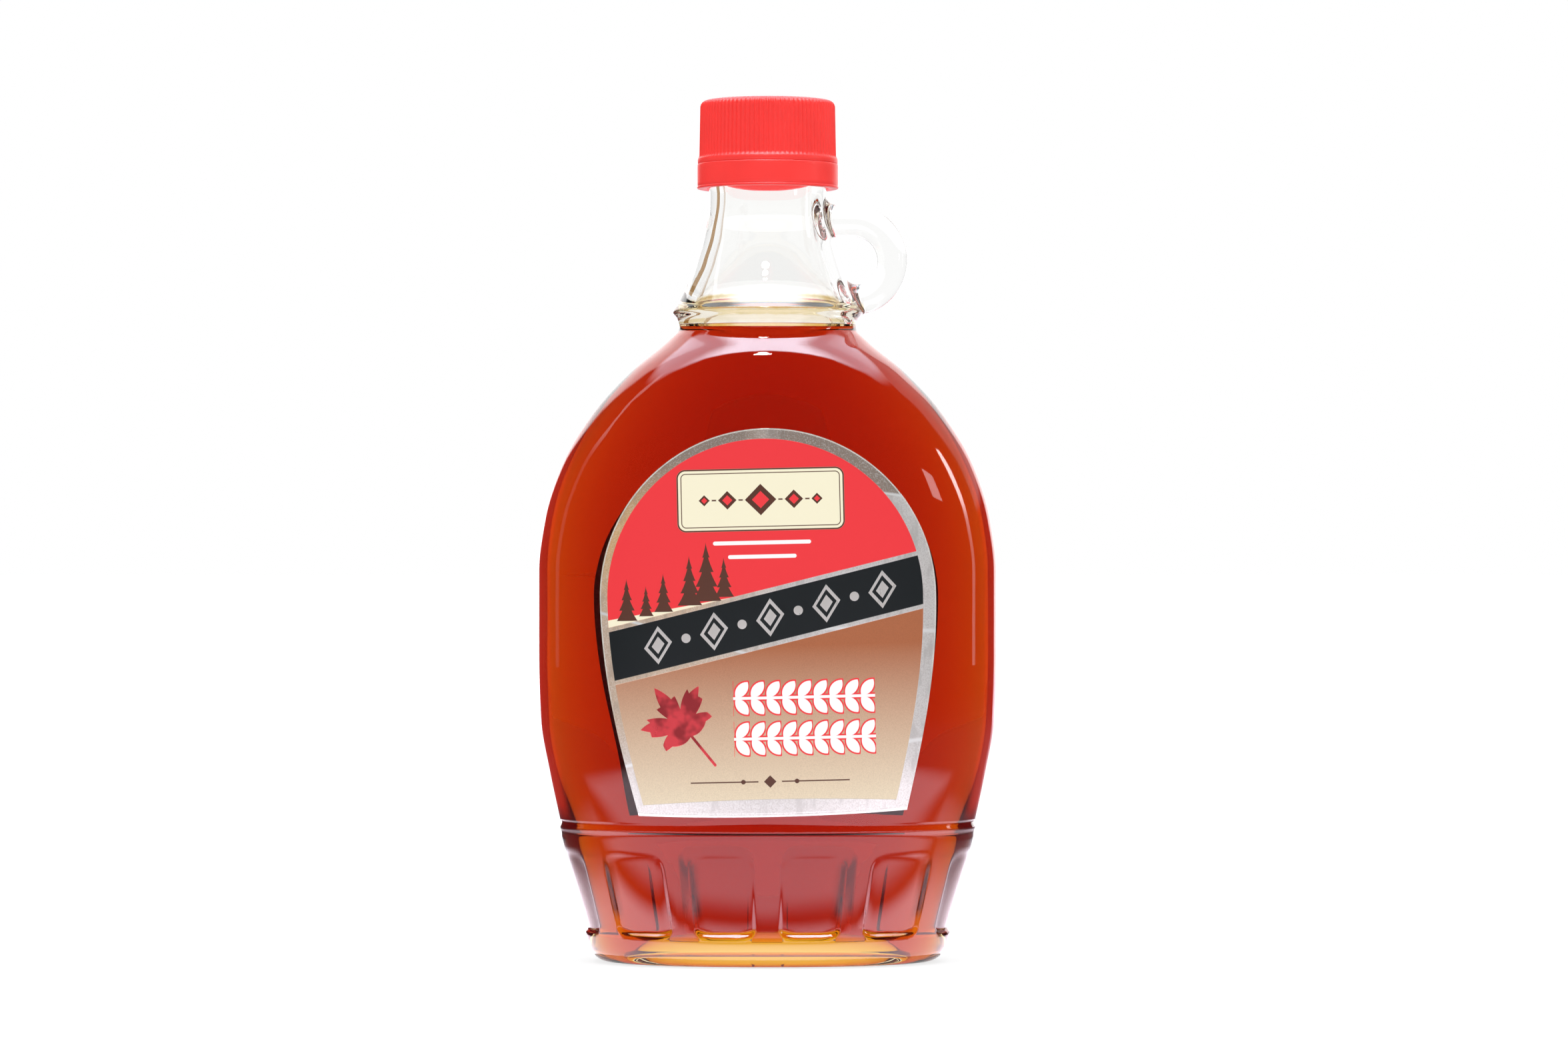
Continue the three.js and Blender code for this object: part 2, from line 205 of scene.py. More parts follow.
def places(mesh):
    """The x, y and z of all of a mesh's points, in millimetres."""
    return read_all(mesh.vertices, "co", float, 3).reshape(-1, 3).T / MM


def mark(mesh, name, share):
    """Keeps a number for each of a mesh's points, for its material to read."""
    mesh.attributes.new(name, "FLOAT", "POINT").data.foreach_set("value", share)


def dress(piece, node, slot, *materials):
    """Gives a piece its materials, puts it under the root body and hides its CAD node.
    Slot is not used.
    """
    for material in materials:
        piece.data.materials.append(material)
    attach(piece, "root")
    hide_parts(node)


# Shader maths


class Wire:
    """A shader socket. Arithmetic on it adds Math nodes, so a pattern reads as a formula."""

    def __init__(self, paint, socket):
        self.paint = paint
        self.socket = socket

    def math(self, operation, *values):
        return self.paint.node("ShaderNodeMath", {"operation": operation}, values)

    def __add__(self, other):
        return self.math("ADD", self, other)

    def __sub__(self, other):
        return self.math("SUBTRACT", self, other)

    def __mul__(self, other):
        return self.math("MULTIPLY", self, other)

    def __truediv__(self, other):
        return self.math("DIVIDE", self, other)

    def __rsub__(self, other):
        return self.math("SUBTRACT", other, self)

    __radd__ = __add__
    __rmul__ = __mul__

    def __pow__(self, other):
        return self.math("POWER", self, other)

    def __abs__(self):
        return self.math("ABSOLUTE", self)

    def __neg__(self):
        return self.math("MULTIPLY", self, -1.0)

    def __mod__(self, other):
        """The remainder, which is never negative, so a pattern repeats evenly on both sides of 0."""
        return self.math("WRAP", self, other, 0.0)

    def least(self, other):
        return self.math("MINIMUM", self, other)

    def most(self, other):
        return self.math("MAXIMUM", self, other)

    def above(self, edge, soft):
        """0 below edge - soft, 1 above edge + soft, and a smooth step between."""
        return self.paint.node(
            "ShaderNodeMapRange",
            {"interpolation_type": "SMOOTHSTEP"},
            {"Value": self, "From Min": edge - soft, "From Max": edge + soft},
        )

    def below(self, edge, soft):
        """1 below edge - soft, 0 above edge + soft, and a smooth step between."""
        return 1 - self.above(edge, soft)


class Paint:
    """A material whose nodes are added one call at a time."""

    def __init__(self, name):
        self.material = bpy.data.materials.new(name)
        self.material.use_nodes = True
        self.tree = self.material.node_tree
        self.tree.nodes.clear()
        self.result = self.tree.nodes.new("ShaderNodeOutputMaterial")

    def node(self, kind, settings=None, sockets=(), output=0):
        """Adds a node of a kind, sets its settings, then fills its sockets by name or in order."""
        made = self.tree.nodes.new(kind)
        for key, value in (settings or {}).items():
            setattr(made, key, value)
        named = sockets.items() if isinstance(sockets, dict) else enumerate(sockets)
        for key, value in named:
            if isinstance(value, Wire):
                self.tree.links.new(value.socket, made.inputs[key])
            else:
                made.inputs[key].default_value = value
        return Wire(self, made.outputs[output])

    def place(self, axis=None):
        """The point in millimetres on the piece, or one of its coordinates."""
        point = self.node("ShaderNodeTexCoord", output="Object")
        scaled = self.node("ShaderNodeVectorMath", {"operation": "SCALE"}, {0: point, "Scale": 1 / MM})
        if axis is None:
            return scaled
        return self.node("ShaderNodeSeparateXYZ", {}, [scaled], "XYZ".index(axis))

    def from_axis(self):
        """Distance from the neck's axis, in millimetres."""
        across, back = self.place("X"), self.place("Y")
        return (across * across + back * back) ** 0.5

    def marked(self, name):
        """The number that `mark` keeps for each point of a mesh."""
        return self.node("ShaderNodeAttribute", {"attribute_name": name}, output=2)

    def noise(self, size, detail=2.0, stretch=(1, 1, 1)):
        """Cloudy noise about 0.5 whose lumps are this many millimetres across, drawn out along an
        axis by its stretch."""
        point = self.place()
        scale = tuple(1 / (size * part) for part in stretch)
        point = self.node("ShaderNodeVectorMath", {"operation": "MULTIPLY"}, [point, scale])
        return self.node("ShaderNodeTexNoise", {}, {"Vector": point, "Scale": 1.0, "Detail": detail})

    def mix(self, share, first, second):
        """A colour between two, at this share of the way."""
        sockets = {0: share, 6: first, 7: second}
        return self.node("ShaderNodeMix", {"data_type": "RGBA", "clamp_factor": True}, sockets, 2)

    def bump(self, height, distance_mm, strength=1.0):
        """A normal from a height of 0 to 1 that stands for this many millimetres."""
        sockets = {"Height": height, "Distance": distance_mm * MM, "Strength": strength}
        return self.node("ShaderNodeBump", {}, sockets)

    def finish(self, sockets, volume=None):
        """Ends the material in one Principled shader with these sockets, and a volume if given."""
        surface = self.node("ShaderNodeBsdfPrincipled", {}, sockets)
        self.tree.links.new(surface.socket, self.result.inputs["Surface"])
        if volume is not None:
            self.tree.links.new(volume.socket, self.result.inputs["Volume"])
        return self.material

    def shine(self, tint, strength):
        """Ends the material as plain light."""
        light = self.node("ShaderNodeEmission", {}, {"Color": tint, "Strength": strength})
        self.tree.links.new(light.socket, self.result.inputs["Surface"])
        return self.material


def screen_colour(red, green, blue):
    """A linear colour with alpha from display values of 0 to 255."""
    value = np.array([red, green, blue]) / 255
    linear = np.where(value <= 0.04045, value / 12.92, ((value + 0.055) / 1.055) ** 2.4)
    return (*linear.tolist(), 1.0)


def opaque(colour, shade=1.0):
    """A settings colour, darkened by a shade, as the four numbers of a colour socket."""
    return (*(part * shade for part in colour[:3]), 1.0)


BLACK = (0, 0, 0, 1)


# Settings


def size(name, description, millimetres):
    """A length that the sidebar shows in the scene's own units."""
    return FloatProperty(
        name=name, description=description, default=millimetres * MM, unit="LENGTH", precision=4
    )


def number(name, description, default):
    """A plain number."""
    return FloatProperty(name=name, description=description, default=default)


def linear_colour(name, description, default):
    """A colour from linear values of 0 to 1."""
    return FloatVectorProperty(
        name=name, description=description, default=default, subtype="COLOR", min=0, max=1
    )


def colour(name, description, *display):
    """A colour from display values of 0 to 255."""
    return linear_colour(name, description, screen_colour(*display)[:3])


class GlassSettings(PropertyGroup):
    wall: size("Wall", "Thickness of the glass round the body", 3.2)
    panel_foot: size("Panel depth at foot", "How far the skirt's panels are sunk at their foot", 0.9)
    panel_head: size("Panel depth at head", "How far the skirt's panels are sunk at their head", 0.22)
    panel_wall: size("Panel wall", "Width of the slope round each panel", 1.25)
    ridge: size("Ridge", "How far the ridge over the skirt stands out", 0.35)
    loop_thickness: size("Loop thickness", "Diameter of the finger loop's bar", 6.9)
    loop_fillet: size("Loop fillet", "Radius where the loop flows into the neck", 2.6)
    tint: colour("Tint", "Colour of the glass", 255, 255, 254)
    # Colour of the golden ring in the collar: syrup on the glass, with painted light from the syrup
    film_and_glow: colour("Film", "Colour of the film of syrup in the collar", 228, 202, 138)
    # Painted shade: a dark colour laid into the glass along the panels' outer edges
    painted_crease_tone: colour("Crease", "Darkest colour along the outer edges of the skirt's panels", 92, 52, 44)
    # Painted glow: light laid onto the glass at the flask's two sides
    glow: colour("Side glow", "Light that the syrup scatters out at the flask's two sides", 155, 28, 4)
    index: number("Refractive index", "How strongly the glass bends light", 1.52)
    loop_roughness: number("Loop roughness", "How soft the reflections in the loop's skin are", 0.07)


class SyrupSettings(PropertyGroup):
    level: size("Level", "Height of the syrup's surface above the foot", 139.7)
    into_wall: size("Into the wall", "How far the syrup's edge reaches into the glass", 0.12)
    index: number("Refractive index", "How strongly the syrup bends light", 1.46)
    depth_of_colour: number("Depth of colour", "How fast light fades in the syrup, per metre", 560.0)
    clear_colour: linear_colour(
        "Clear colour", "The light that passes most easily through the syrup", (0.953, 0.77, 0.0)
    )
    tint: colour("Tint", "Colour of the thinnest layer of syrup", 255, 238, 205)


class CapSettings(PropertyGroup):
    rib_count: IntProperty(name="Ribs", description="Ribs round the cap's grip", default=90)
    rib_depth: size("Rib depth", "Depth of the grooves between the ribs", 0.26)
    red: colour("Red", "Colour of the cap and the band", 250, 46, 41)
    # Painted glow: light laid onto the cap's bore
    glow: colour("Glow", "Light that comes through the plastic to its bore", 205, 40, 42)
    bridge_count: IntProperty(
        name="Bridges", description="Bridges from the band to the cap", default=12
    )


class LabelSettings(PropertyGroup):
    thickness: size("Thickness", "Thickness of a label", 0.12)
    silver: colour("Silver", "Foil edge of the labels", 224, 219, 216)
    red: colour("Red", "Upper field", 236, 44, 52)
    black: colour("Black", "Band across the front label", 24, 28, 30)
    tan_high: colour("Tan, top", "Lower field where it meets the band", 169, 96, 56)
    tan_low: colour("Tan, bottom", "Lower field at its foot", 230, 213, 186)
    cream: colour("Cream", "Plaque and back field", 240, 233, 204)
    brown: colour("Brown", "Key lines, trees and rules", 84, 44, 28)
    leaf: colour("Leaf", "Leaf of red foil", 236, 76, 84)
    backing: colour("Backing", "Glued side of the labels", 168, 162, 156)


class StudioSettings(PropertyGroup):
    surround: number("Surround", "Brightness of the white surround", 1.0)
    ceiling: number("Ceiling light", "Power of the soft overhead light", 6.0)
    distance: size("Camera distance", "How far the camera is from the neck's axis", 1100)
    camera_side: size("Camera to the right", "How far right of the neck's axis the camera is", 3.6)
    camera_height: size("Camera height", "Height of the camera above the table", 96.6)
    field_width: size("Field width", "Width of the picture at the neck's axis", 346.04)


class FlaskSettings(PropertyGroup):
    glass: PointerProperty(type=GlassSettings)
    syrup: PointerProperty(type=SyrupSettings)
    cap: PointerProperty(type=CapSettings)
    label: PointerProperty(type=LabelSettings)
    studio: PointerProperty(type=StudioSettings)


# Glass


def quarter_arcs():
    """Angles over the first quarter of the skirt's section and the distance along it to each."""
    z = (SKIRT_FOOT[0] + SKIRT_TOP[0]) / 2
    angle = np.linspace(0, np.pi / 2, 2001)
    depth, power = smooth_curve(HALF_DEPTH, z), SQUARENESS[0][1]
    x, y = section(skirt_width(z), depth, power, angle)
    return angle, np.concatenate([[0], np.cumsum(np.hypot(np.diff(x), np.diff(y)))])


def glass_angles(wall):
    """Angles of the columns all round: close together across the panels' walls, and mirrored from
    the first quarter to the others."""
    angle, arc = quarter_arcs()
    stops, steps = [0.0], []
    for start, end in PANEL_SPANS:
        stops += [start, start + wall]
        steps += [3, 5]
        if end is None:
            stops.append(arc[-1])
            steps.append(8)
        else:
            stops += [end - wall, end]
            steps += [8, 5]
    spans = zip(stops[:-1], stops[1:], steps)
    arcs = np.concatenate([np.linspace(a, b, n, endpoint=False) for a, b, n in spans])
    quarter = np.interp(arcs, arc, angle)
    half = np.concatenate([quarter, [np.pi / 2], np.pi - quarter[:0:-1]])
    return np.concatenate([half, np.pi + half])


def panel_sink(z, angle, glass):
    """How far the skirt is sunk at each height and column.

    A panel is a box with round corners in distance along the skirt and height. With d the signed
    distance to its edge, the sink is its depth times a smooth step of -d over the wall's width.
    """
    bottom, top = PANEL_HEIGHT
    foot_corner, head_corner = 2.4, 3.8
    quarter_angle, quarter_arc = quarter_arcs()
    folded = np.abs((angle + np.pi / 2) % np.pi - np.pi / 2)
    arc = np.interp(folded, quarter_angle, quarter_arc)[None, :]
    z = z[:, None]
    corner = np.where(z > (bottom + top) / 2, head_corner, foot_corner)
    wall = glass.panel_wall / MM
    depth = np.interp(z, [bottom, top], [glass.panel_foot / MM, glass.panel_head / MM])
    sink = 0
    for start, end in PANEL_SPANS:
        end = 2 * quarter_arc[-1] - start if end is None else end
        across = np.abs(arc - (start + end) / 2) - (end - start) / 2 + corner
        up = np.abs(z - (bottom + top) / 2) - (top - bottom) / 2 + corner
        outside = np.hypot(np.maximum(across, 0), np.maximum(up, 0))
        distance = outside + np.minimum(np.maximum(across, up), 0) - corner
        sink = sink + depth * ease(-distance / wall)
    return sink


def glass_outside(glass):
    """Heights, half widths, half depths and squareness of the rings up the outside of the flask."""
    inside, outside = STANDING_RING
    foot_depth, heel_depth = HALF_DEPTH[0][1], HALF_DEPTH[1][1]
    # Under the foot: z = depth (1 - (w / inside)^3.6), a shallow hollow
    hollow = np.linspace(0, 1, 12)
    hollow_z = FOOT_HOLLOW * (1 - hollow**3.6)
    ring_depth = foot_depth - (outside - inside)
    # Heel: a quarter of an ellipse from the standing ring out to the skirt's foot
    turn = np.linspace(0, np.pi / 2, 12)
    heel_z = SKIRT_FOOT[0] * (1 - np.cos(turn))
    foot = np.stack([
        np.concatenate([hollow_z, heel_z]),
        np.concatenate([hollow * inside, outside + (SKIRT_FOOT[1] - outside) * np.sin(turn)]),
        np.concatenate([hollow * ring_depth, foot_depth + (heel_depth - foot_depth) * np.sin(turn)]),
    ])
    heights = np.concatenate([
        np.linspace(SKIRT_FOOT[0] + 0.3, 9.4, 10), np.linspace(10.2, 22, 12),
        np.linspace(22.7, 28.2, 9), np.linspace(28.5, 32, 15), np.linspace(33, 124, 62),
        np.linspace(124.7, 136.6, 18), np.linspace(137.1, NECK_FOOT - 0.35, 4),
    ])
    # The ridge stands out as a bell curve round its crest
    crest_height, crest_width = RIDGE
    crest = glass.ridge / MM * np.exp(-(((heights - crest_height) / crest_width) ** 2))
    body = np.stack([
        heights,
        body_width(heights) + crest,
        smooth_curve(HALF_DEPTH, heights) + crest,
    ])
    neck_heights = np.concatenate([
        np.linspace(NECK_FOOT, 146, 22), np.linspace(146.8, NECK_RADIUS[-1][0], 24)
    ])
    radius = smooth_curve(NECK_RADIUS, neck_heights)
    # The neck's front and back dip at its foot, as a bell curve
    dip_width = 0.9
    dip = NECK_FOOT_DIP * np.exp(-(((neck_heights - NECK_FOOT) / dip_width) ** 2))
    neck = np.stack([neck_heights, radius, radius - dip])
    # The mouth: straight up from the bead under the cap, and a quarter of a circle over its rim
    mouth_turn = np.linspace(0, np.pi / 2, 5)
    rim, outer = 0.8, MOUTH["outside"]
    mouth_z = np.concatenate([[MOUTH["bead"]], MOUTH["z"] - rim + rim * np.sin(mouth_turn)])
    mouth_radius = np.concatenate([[outer], outer - rim + rim * np.cos(mouth_turn)])
    mouth = np.stack([mouth_z, mouth_radius, mouth_radius])
    rings = np.concatenate([foot, body, neck, mouth], axis=1)
    return np.concatenate([rings, squareness(rings[0])[None]])


def glass_inside(wall, level, deeper=0.0, top=None):
    """Heights, half widths, half depths and squareness of the rings up the inside of the flask, from
    the middle of its floor. They are moved out by `deeper`, and end at `top` if it is given."""
    floor_edge, edge_height = FLOOR[-1]
    floor_width = SKIRT_FOOT[1] - wall - SIDE_GLASS[0][1]
    floor_depth = HALF_DEPTH[1][1] - wall
    share = np.concatenate([np.linspace(0, 0.6, 9), np.linspace(0.64, floor_edge, 18)])
    floor = np.stack([
        smooth_curve(FLOOR, share) - deeper,
        share * (floor_width + deeper),
        share * (floor_depth + deeper),
    ])
    # Heights at which the wall is measured in from the outside; the curve runs on between them
    marks = np.array([13, 21, 26, 31, 36, 44, 58, 70, 84, 97, 108, 117, 124, 129.5, 134, 137])
    sides = body_width(marks) - wall - smooth_curve(SIDE_GLASS, marks)
    faces = smooth_curve(HALF_DEPTH, marks) - wall
    width = [(edge_height, floor_edge * floor_width), *zip(marks, sides), *BORE]
    depth = [(edge_height, floor_edge * floor_depth), *zip(marks, faces), *BORE]
    heights = np.concatenate([
        np.linspace(8.2, 14, 8), np.linspace(16, 130, 50), np.linspace(131.5, level - 0.7, 8),
        [level - 0.3, level], np.linspace(level + 0.5, 147, 10), np.linspace(148, 169, 20),
    ])
    if top is not None:
        heights = heights[heights <= top]
    wall_rings = np.stack([
        heights, smooth_curve(width, heights) + deeper, smooth_curve(depth, heights) + deeper
    ])
    rings = np.concatenate([floor, wall_rings], axis=1)
    return np.concatenate([rings, squareness(rings[0])[None]])


def stack_rings(rings, angle, sink=0):
    """Points of the sections at each ring and column, sunk by an array of the same shape."""
    z, width, depth, power = rings[:, :, None]
    x, y = section(np.maximum(width - sink, 0), np.maximum(depth - sink, 0), power, angle[None, :])
    return np.stack([x, y, np.broadcast_to(z, x.shape)], -1)


def loop_end(ring, ahead, height, up, outline):
    """Rings that flare out from the loop bar's last ring to the neck, and close inside its wall.

    Column by column the flare is the Hermite curve from the ring, where it runs along the bar, to
    the bar's outline on the neck, where it runs along the neck's surface. `up` is 1 where the top of
    the ring is its first point, and -1 where the ring stands on its head.
    """
    around = np.linspace(0, 2 * np.pi, len(ring), endpoint=False)

    def on_neck(share, depth):
        y, z = -share * outline * np.sin(around), height + up * share * outline * np.cos(around)
        reach = smooth_curve(NECK_RADIUS, z) - depth
        return np.stack([np.sqrt(reach**2 - y**2), y, z], -1)

    sunk, fullness = 0.02, 1.17
    end = on_neck(1.0, sunk)
    slope = on_neck(1.02, sunk) - on_neck(0.98, sunk)
    slope /= np.linalg.norm(slope, axis=-1, keepdims=True)
    pull = fullness * np.linalg.norm(end - ring, axis=-1, keepdims=True)
    t = np.linspace(0, 1, 20)[1:, None, None]
    flare = (2 * t**3 - 3 * t**2 + 1) * ring + (t**3 - 2 * t**2 + t) * pull * ahead
    flare = flare + (3 * t**2 - 2 * t**3) * end + (t**3 - t**2) * pull * slope
    return np.concatenate([flare, [on_neck(0.8, 0.5), on_neck(0.4, 0.9), on_neck(0.0, 1.2)]])


def finger_loop(glass):
    """The loop's bar: a circle of points carried along a level lead-in and an arc, with both of its
    ends flared out to the neck."""
    middle_x, middle_z, radius = 18.7, 154.4, 8.8
    lead_start, end_angle = 14.9, -64
    low_height = 145.7
    thickness, fillet = glass.loop_thickness / MM, glass.loop_fillet / MM
    turn = np.radians(np.linspace(90, end_angle, 110))
    lead = np.linspace(lead_start, middle_x, 10, endpoint=False)
    path_x = np.concatenate([lead, middle_x + radius * np.cos(turn)])
    path_z = np.concatenate([np.full(len(lead), middle_z + radius), middle_z + radius * np.sin(turn)])
    ahead = np.stack([np.gradient(path_x), np.gradient(path_z)])
    ahead /= np.hypot(*ahead)
    around = np.linspace(0, 2 * np.pi, 48, endpoint=False)
    # The bar's section: across is -Y, and up is square to the path in the XZ plane
    up_x, up_z = -ahead[1][:, None], ahead[0][:, None]
    # The bar is a little thicker where it leaves the top of the neck
    along = np.linspace(0, 1, len(path_x))[:, None]
    half = thickness / 2 * (1.05 - 0.1 * along)
    bar = np.stack(np.broadcast_arrays(
        path_x[:, None] + half * np.cos(around) * up_x,
        -half * np.sin(around),
        path_z[:, None] + half * np.cos(around) * up_z,
    ), -1)
    first, last = (np.array([ahead[0, k], 0, ahead[1, k]]) for k in (0, -1))
    # The upper flare is narrow on the side of the finger, and the lower one where the collar is
    high_outline = half[0] + fillet * (0.7 + 0.3 * np.cos(around))
    low_outline = half[-1] + fillet * (0.5 - 0.3 * np.cos(around))
    high = loop_end(bar[0], -first, middle_z + radius, 1, high_outline)
    low = loop_end(bar[-1], last, low_height, -1, low_outline)
    return np.concatenate([high[::-1], bar, low])


def clear_glass(name, glass, index, roughness=0.0):
    """Bottle glass: clear, with a faint waviness from the mould. An uneven golden ring in the collar
    stands for syrup left on the glass and for painted golden light from the syrup. Painted shade
    darkens the panels' outer edges, and a painted glow on the flask's two sides stands for the light
    that the syrup scatters."""
    paint = Paint(name)
    waves = paint.noise(14, 1.0, (1, 1, 1.6))
    # Syrup and painted light: a narrow ring over a wider and fainter one, both at uneven heights
    height = paint.place("Z") + 1.3 * paint.noise(5, 2.0) + 0.9 * paint.noise(1.2, 2.0)
    film_and_glow = inked(abs(height - 145.0) - 0.6, 0.7) + 0.5 * inked(abs(height - 143.4) - 1.8, 1.2)
    collar_radius = 21.3
    in_collar = paint.from_axis().below(collar_radius, 0.2)
    with_film_and_glow = paint.mix(film_and_glow * in_collar, opaque(glass.tint), opaque(glass.film_and_glow))
    return paint.finish({
        # Painted shade along the panels' outer edges
        "Base Color": paint.mix(paint.marked(PAINTED_PANEL_SHADE), with_film_and_glow, opaque(glass.painted_crease_tone)),
        # Painted glow on the flask's two sides
        "Emission Color": paint.mix(paint.marked(PAINTED_SIDE_GLOW), BLACK, opaque(glass.glow)),
        "Emission Strength": 1.0,
        "Roughness": roughness,
        "IOR": index,
        "Transmission Weight": 1.0,
        "Normal": paint.bump(waves, 0.12, 0.5),
    })


# The glass piece's material slots: away from the syrup, against it, and the loop's
DRY, WET, LOOP_PART = range(3)
# The glass piece's marks, which are 1 at the flask's two sides, where a painted glow lies, and
# along the panels' outer edges, where painted shade lies
PAINTED_SIDE_GLOW = "painted_side_glow"
PAINTED_PANEL_SHADE = "painted_panel_shade"


class SYRUP_FLASK_OT_glass(Operator):
    """Make the glass flask, with its panelled skirt, its collar and its finger loop"""

    bl_idname = "syrup_flask.glass"
    bl_label = "Glass"

    def execute(self, context):
        settings = context.scene.syrup_flask
        glass, syrup = settings.glass, settings.syrup
        level, wall = syrup.level / MM, glass.wall / MM
        angle = glass_angles(glass.panel_wall / MM)
        outside = glass_outside(glass)
        sink = panel_sink(outside[0], angle, glass) * (outside[1] > SKIRT_FOOT[1] - 0.5)[:, None]
        inside = glass_inside(wall, level)
        rings = np.concatenate([
            stack_rings(outside, angle, sink),
            stack_rings(inside, angle)[::-1],
        ])
        syrup_side = inside[0] <= level + 0.01
        wetted = np.concatenate([np.zeros(outside.shape[1], bool), syrup_side[::-1]])
        slots = np.where(wetted[:-1] & wetted[1:], WET, DRY)
        body = closed_rings("flask_glass", rings, slots)
        bar = closed_rings("finger_loop", finger_loop(glass))
        dry = clear_glass("Clear glass", glass, glass.index)
        # Where the syrup touches it, the glass bends light only as far as from glass to syrup
        wet = clear_glass("Glass against syrup", glass, glass.index / syrup.index * SYRUP_EDGE_INDEX)
        # The loop's skin shows softer reflections than the body's
        loop = clear_glass("Clear glass of the loop", glass, glass.index, glass.loop_roughness)
        for piece in (body, bar):
            for material in (dry, wet, loop):
                piece.data.materials.append(material)
        loop_faces = bar.data.polygons
        loop_faces.foreach_set("material_index", np.full(len(loop_faces), LOOP_PART, np.int32))
        joined = self.join(body, bar)
        joined.polygons.foreach_set("use_smooth", np.ones(len(joined.polygons), bool))
        self.split_seam(joined)
        self.mark_painted_side_glow(joined)
        self.mark_painted_panel_shade(joined, glass.panel_wall / MM)
        dress(body, "flask", "clear_glass")
        return {"FINISHED"}

    def join(self, body, bar):
        """Makes the bar part of the body, and returns the body's new mesh."""
        union = body.modifiers.new("Join the loop", "BOOLEAN")
        union.operation = "UNION"
        union.solver = "MANIFOLD"
        union.object = bar
        bpy.context.view_layer.update()
        evaluated = body.evaluated_get(bpy.context.evaluated_depsgraph_get())
        joined = bpy.data.meshes.new_from_object(evaluated)
        if len(joined.polygons) <= len(body.data.polygons):
            raise RuntimeError("the finger loop could not be joined to the flask")
        body.modifiers.clear()
        body.data = joined
        bpy.data.objects.remove(bar)
        return joined

    def mark_painted_side_glow(self, mesh):
        """Marks how far each point of the body is out to its side, for the painted glow there: a
        smooth step of |x| / half width, fading out at the shoulder and at the skirt."""
        starts, over = 0.925, 0.04
        skirt, skirt_fade, shoulder, shoulder_fade = 30, 6, 126, 14
        x, _, z = places(mesh)
        out = ease((np.abs(x) / body_width(z) - starts) / over)
        share = out * ease((z - skirt) / skirt_fade) * ease((shoulder - z) / shoulder_fade)
        mark(mesh, PAINTED_SIDE_GLOW, share)

    def mark_painted_panel_shade(self, mesh, wall):
        """Marks the outer wall of each panel of the skirt for painted shade, which stands in for the
        dark
        that the bent glass shows there: a bump across the wall that fades out towards the panel's foot
        and head."""
        reach, foot, head, fade, skin = 0.6 * wall, 9.5, 24.5, 3, 0.93
        x, y, z = places(mesh)
        width, depth = skirt_width(z), smooth_curve(HALF_DEPTH, z)
        arc = np.interp(np.arctan2(np.abs(x) / width, np.abs(y) / depth), *quarter_arcs())
        off_wall = [np.abs(arc - end + wall / 2) / reach for _, end in PANEL_SPANS[:-1]]
        across = sum(np.maximum(1 - off, 0) for off in off_wall)
        outer_skin = np.hypot(x / width, y / depth) > skin
        share = ease(across * 1.3) * ease((z - foot) / fade) * ease((head - z) / fade) * outer_skin
        mark(mesh, PAINTED_PANEL_SHADE, share)

    def split_seam(self, mesh):
        """Parts the smooth shading along the edges between the loop's faces and the neck's."""
        edge = read_all(mesh.loops, "edge_index")
        corners = read_all(mesh.polygons, "loop_total")
        kind = read_all(mesh.polygons, "material_index")
        from_loop = np.repeat(kind == LOOP_PART, corners)
        sides = np.bincount(edge, minlength=len(mesh.edges))
        loop_sides = np.bincount(edge, weights=from_loop, minlength=len(mesh.edges))
        seam = (loop_sides > 0) & (loop_sides < sides)
        if not seam.any():
            raise RuntimeError("the finger loop does not meet the neck")
        sharp = mesh.attributes.new("sharp_edge", "BOOLEAN", "EDGE")
        sharp.data.foreach_set("value", seam)


# Syrup

# The syrup's edge lies within the glass of the wall, so it bends light only a little by itself, and
# the glass's wetted face makes up the rest
SYRUP_EDGE_INDEX = 1.05


def syrup_material(syrup):
    """Clear syrup: a volume that takes most of the blue and much of the green out of the light."""
    paint = Paint("Syrup")
    fade = paint.node(
        "ShaderNodeVolumeAbsorption",
        {},
        {"Color": opaque(syrup.clear_colour), "Density": syrup.depth_of_colour},
    )
    return paint.finish(
        {
            "Base Color": opaque(syrup.tint),
            "Roughness": 0.0,
            "IOR": SYRUP_EDGE_INDEX,
            "Transmission Weight": 1.0,
        },
        fade,
    )


class SYRUP_FLASK_OT_syrup(Operator):
    """Fill the flask with syrup up to its neck"""

    bl_idname = "syrup_flask.syrup"
    bl_label = "Syrup"

    def execute(self, context):
        settings = context.scene.syrup_flask
        syrup = settings.syrup
        level, into = syrup.level / MM, syrup.into_wall / MM
        angle = glass_angles(settings.glass.panel_wall / MM)
        inside = glass_inside(settings.glass.wall / MM, level, into, level)
        # The surface climbs the wall: z = level + climb exp(-gap / reach), with the gap from the wall
        climb, reach = 0.9, 0.9
        gap = np.array([0.25, 0.55, 0.95, 1.5, 2.3, 3.5, 5.5, 9.0, 13.0, 16.9 + into])
        edge = inside[1, -1]
        radius = np.maximum(edge - gap, 0)
        top = np.stack([level + climb * np.exp(-gap / reach), radius, radius, np.full(len(gap), 2.0)])
        rim = np.array([[level + climb * np.exp(-into / reach)], [edge], [edge], [2.0]])
        rings = stack_rings(np.concatenate([inside, rim, top], axis=1), angle)
        rings[-1] = [0, 0, level]
        piece = closed_rings("syrup_fill", rings)
        dress(piece, "syrup", "syrup", syrup_material(syrup))
        return {"FINISHED"}


# Cap and tamper band

# Heights of the cap's foot, of the ledge over its lip and of its top, and the radii of its lip, of
# its grip at the ledge and at the top, and of its bore
CAP_SHAPE = {
    "bottom": 175.72, "ledge": 177.5, "top": 189.8, "lip": 15.43, "foot": 15.08, "head": 14.85,
    "bore": 13.3,
}
BAND_SHAPE = {"bottom": 170.2, "top": 175.7, "radius": 15.6, "bore": 13.3}


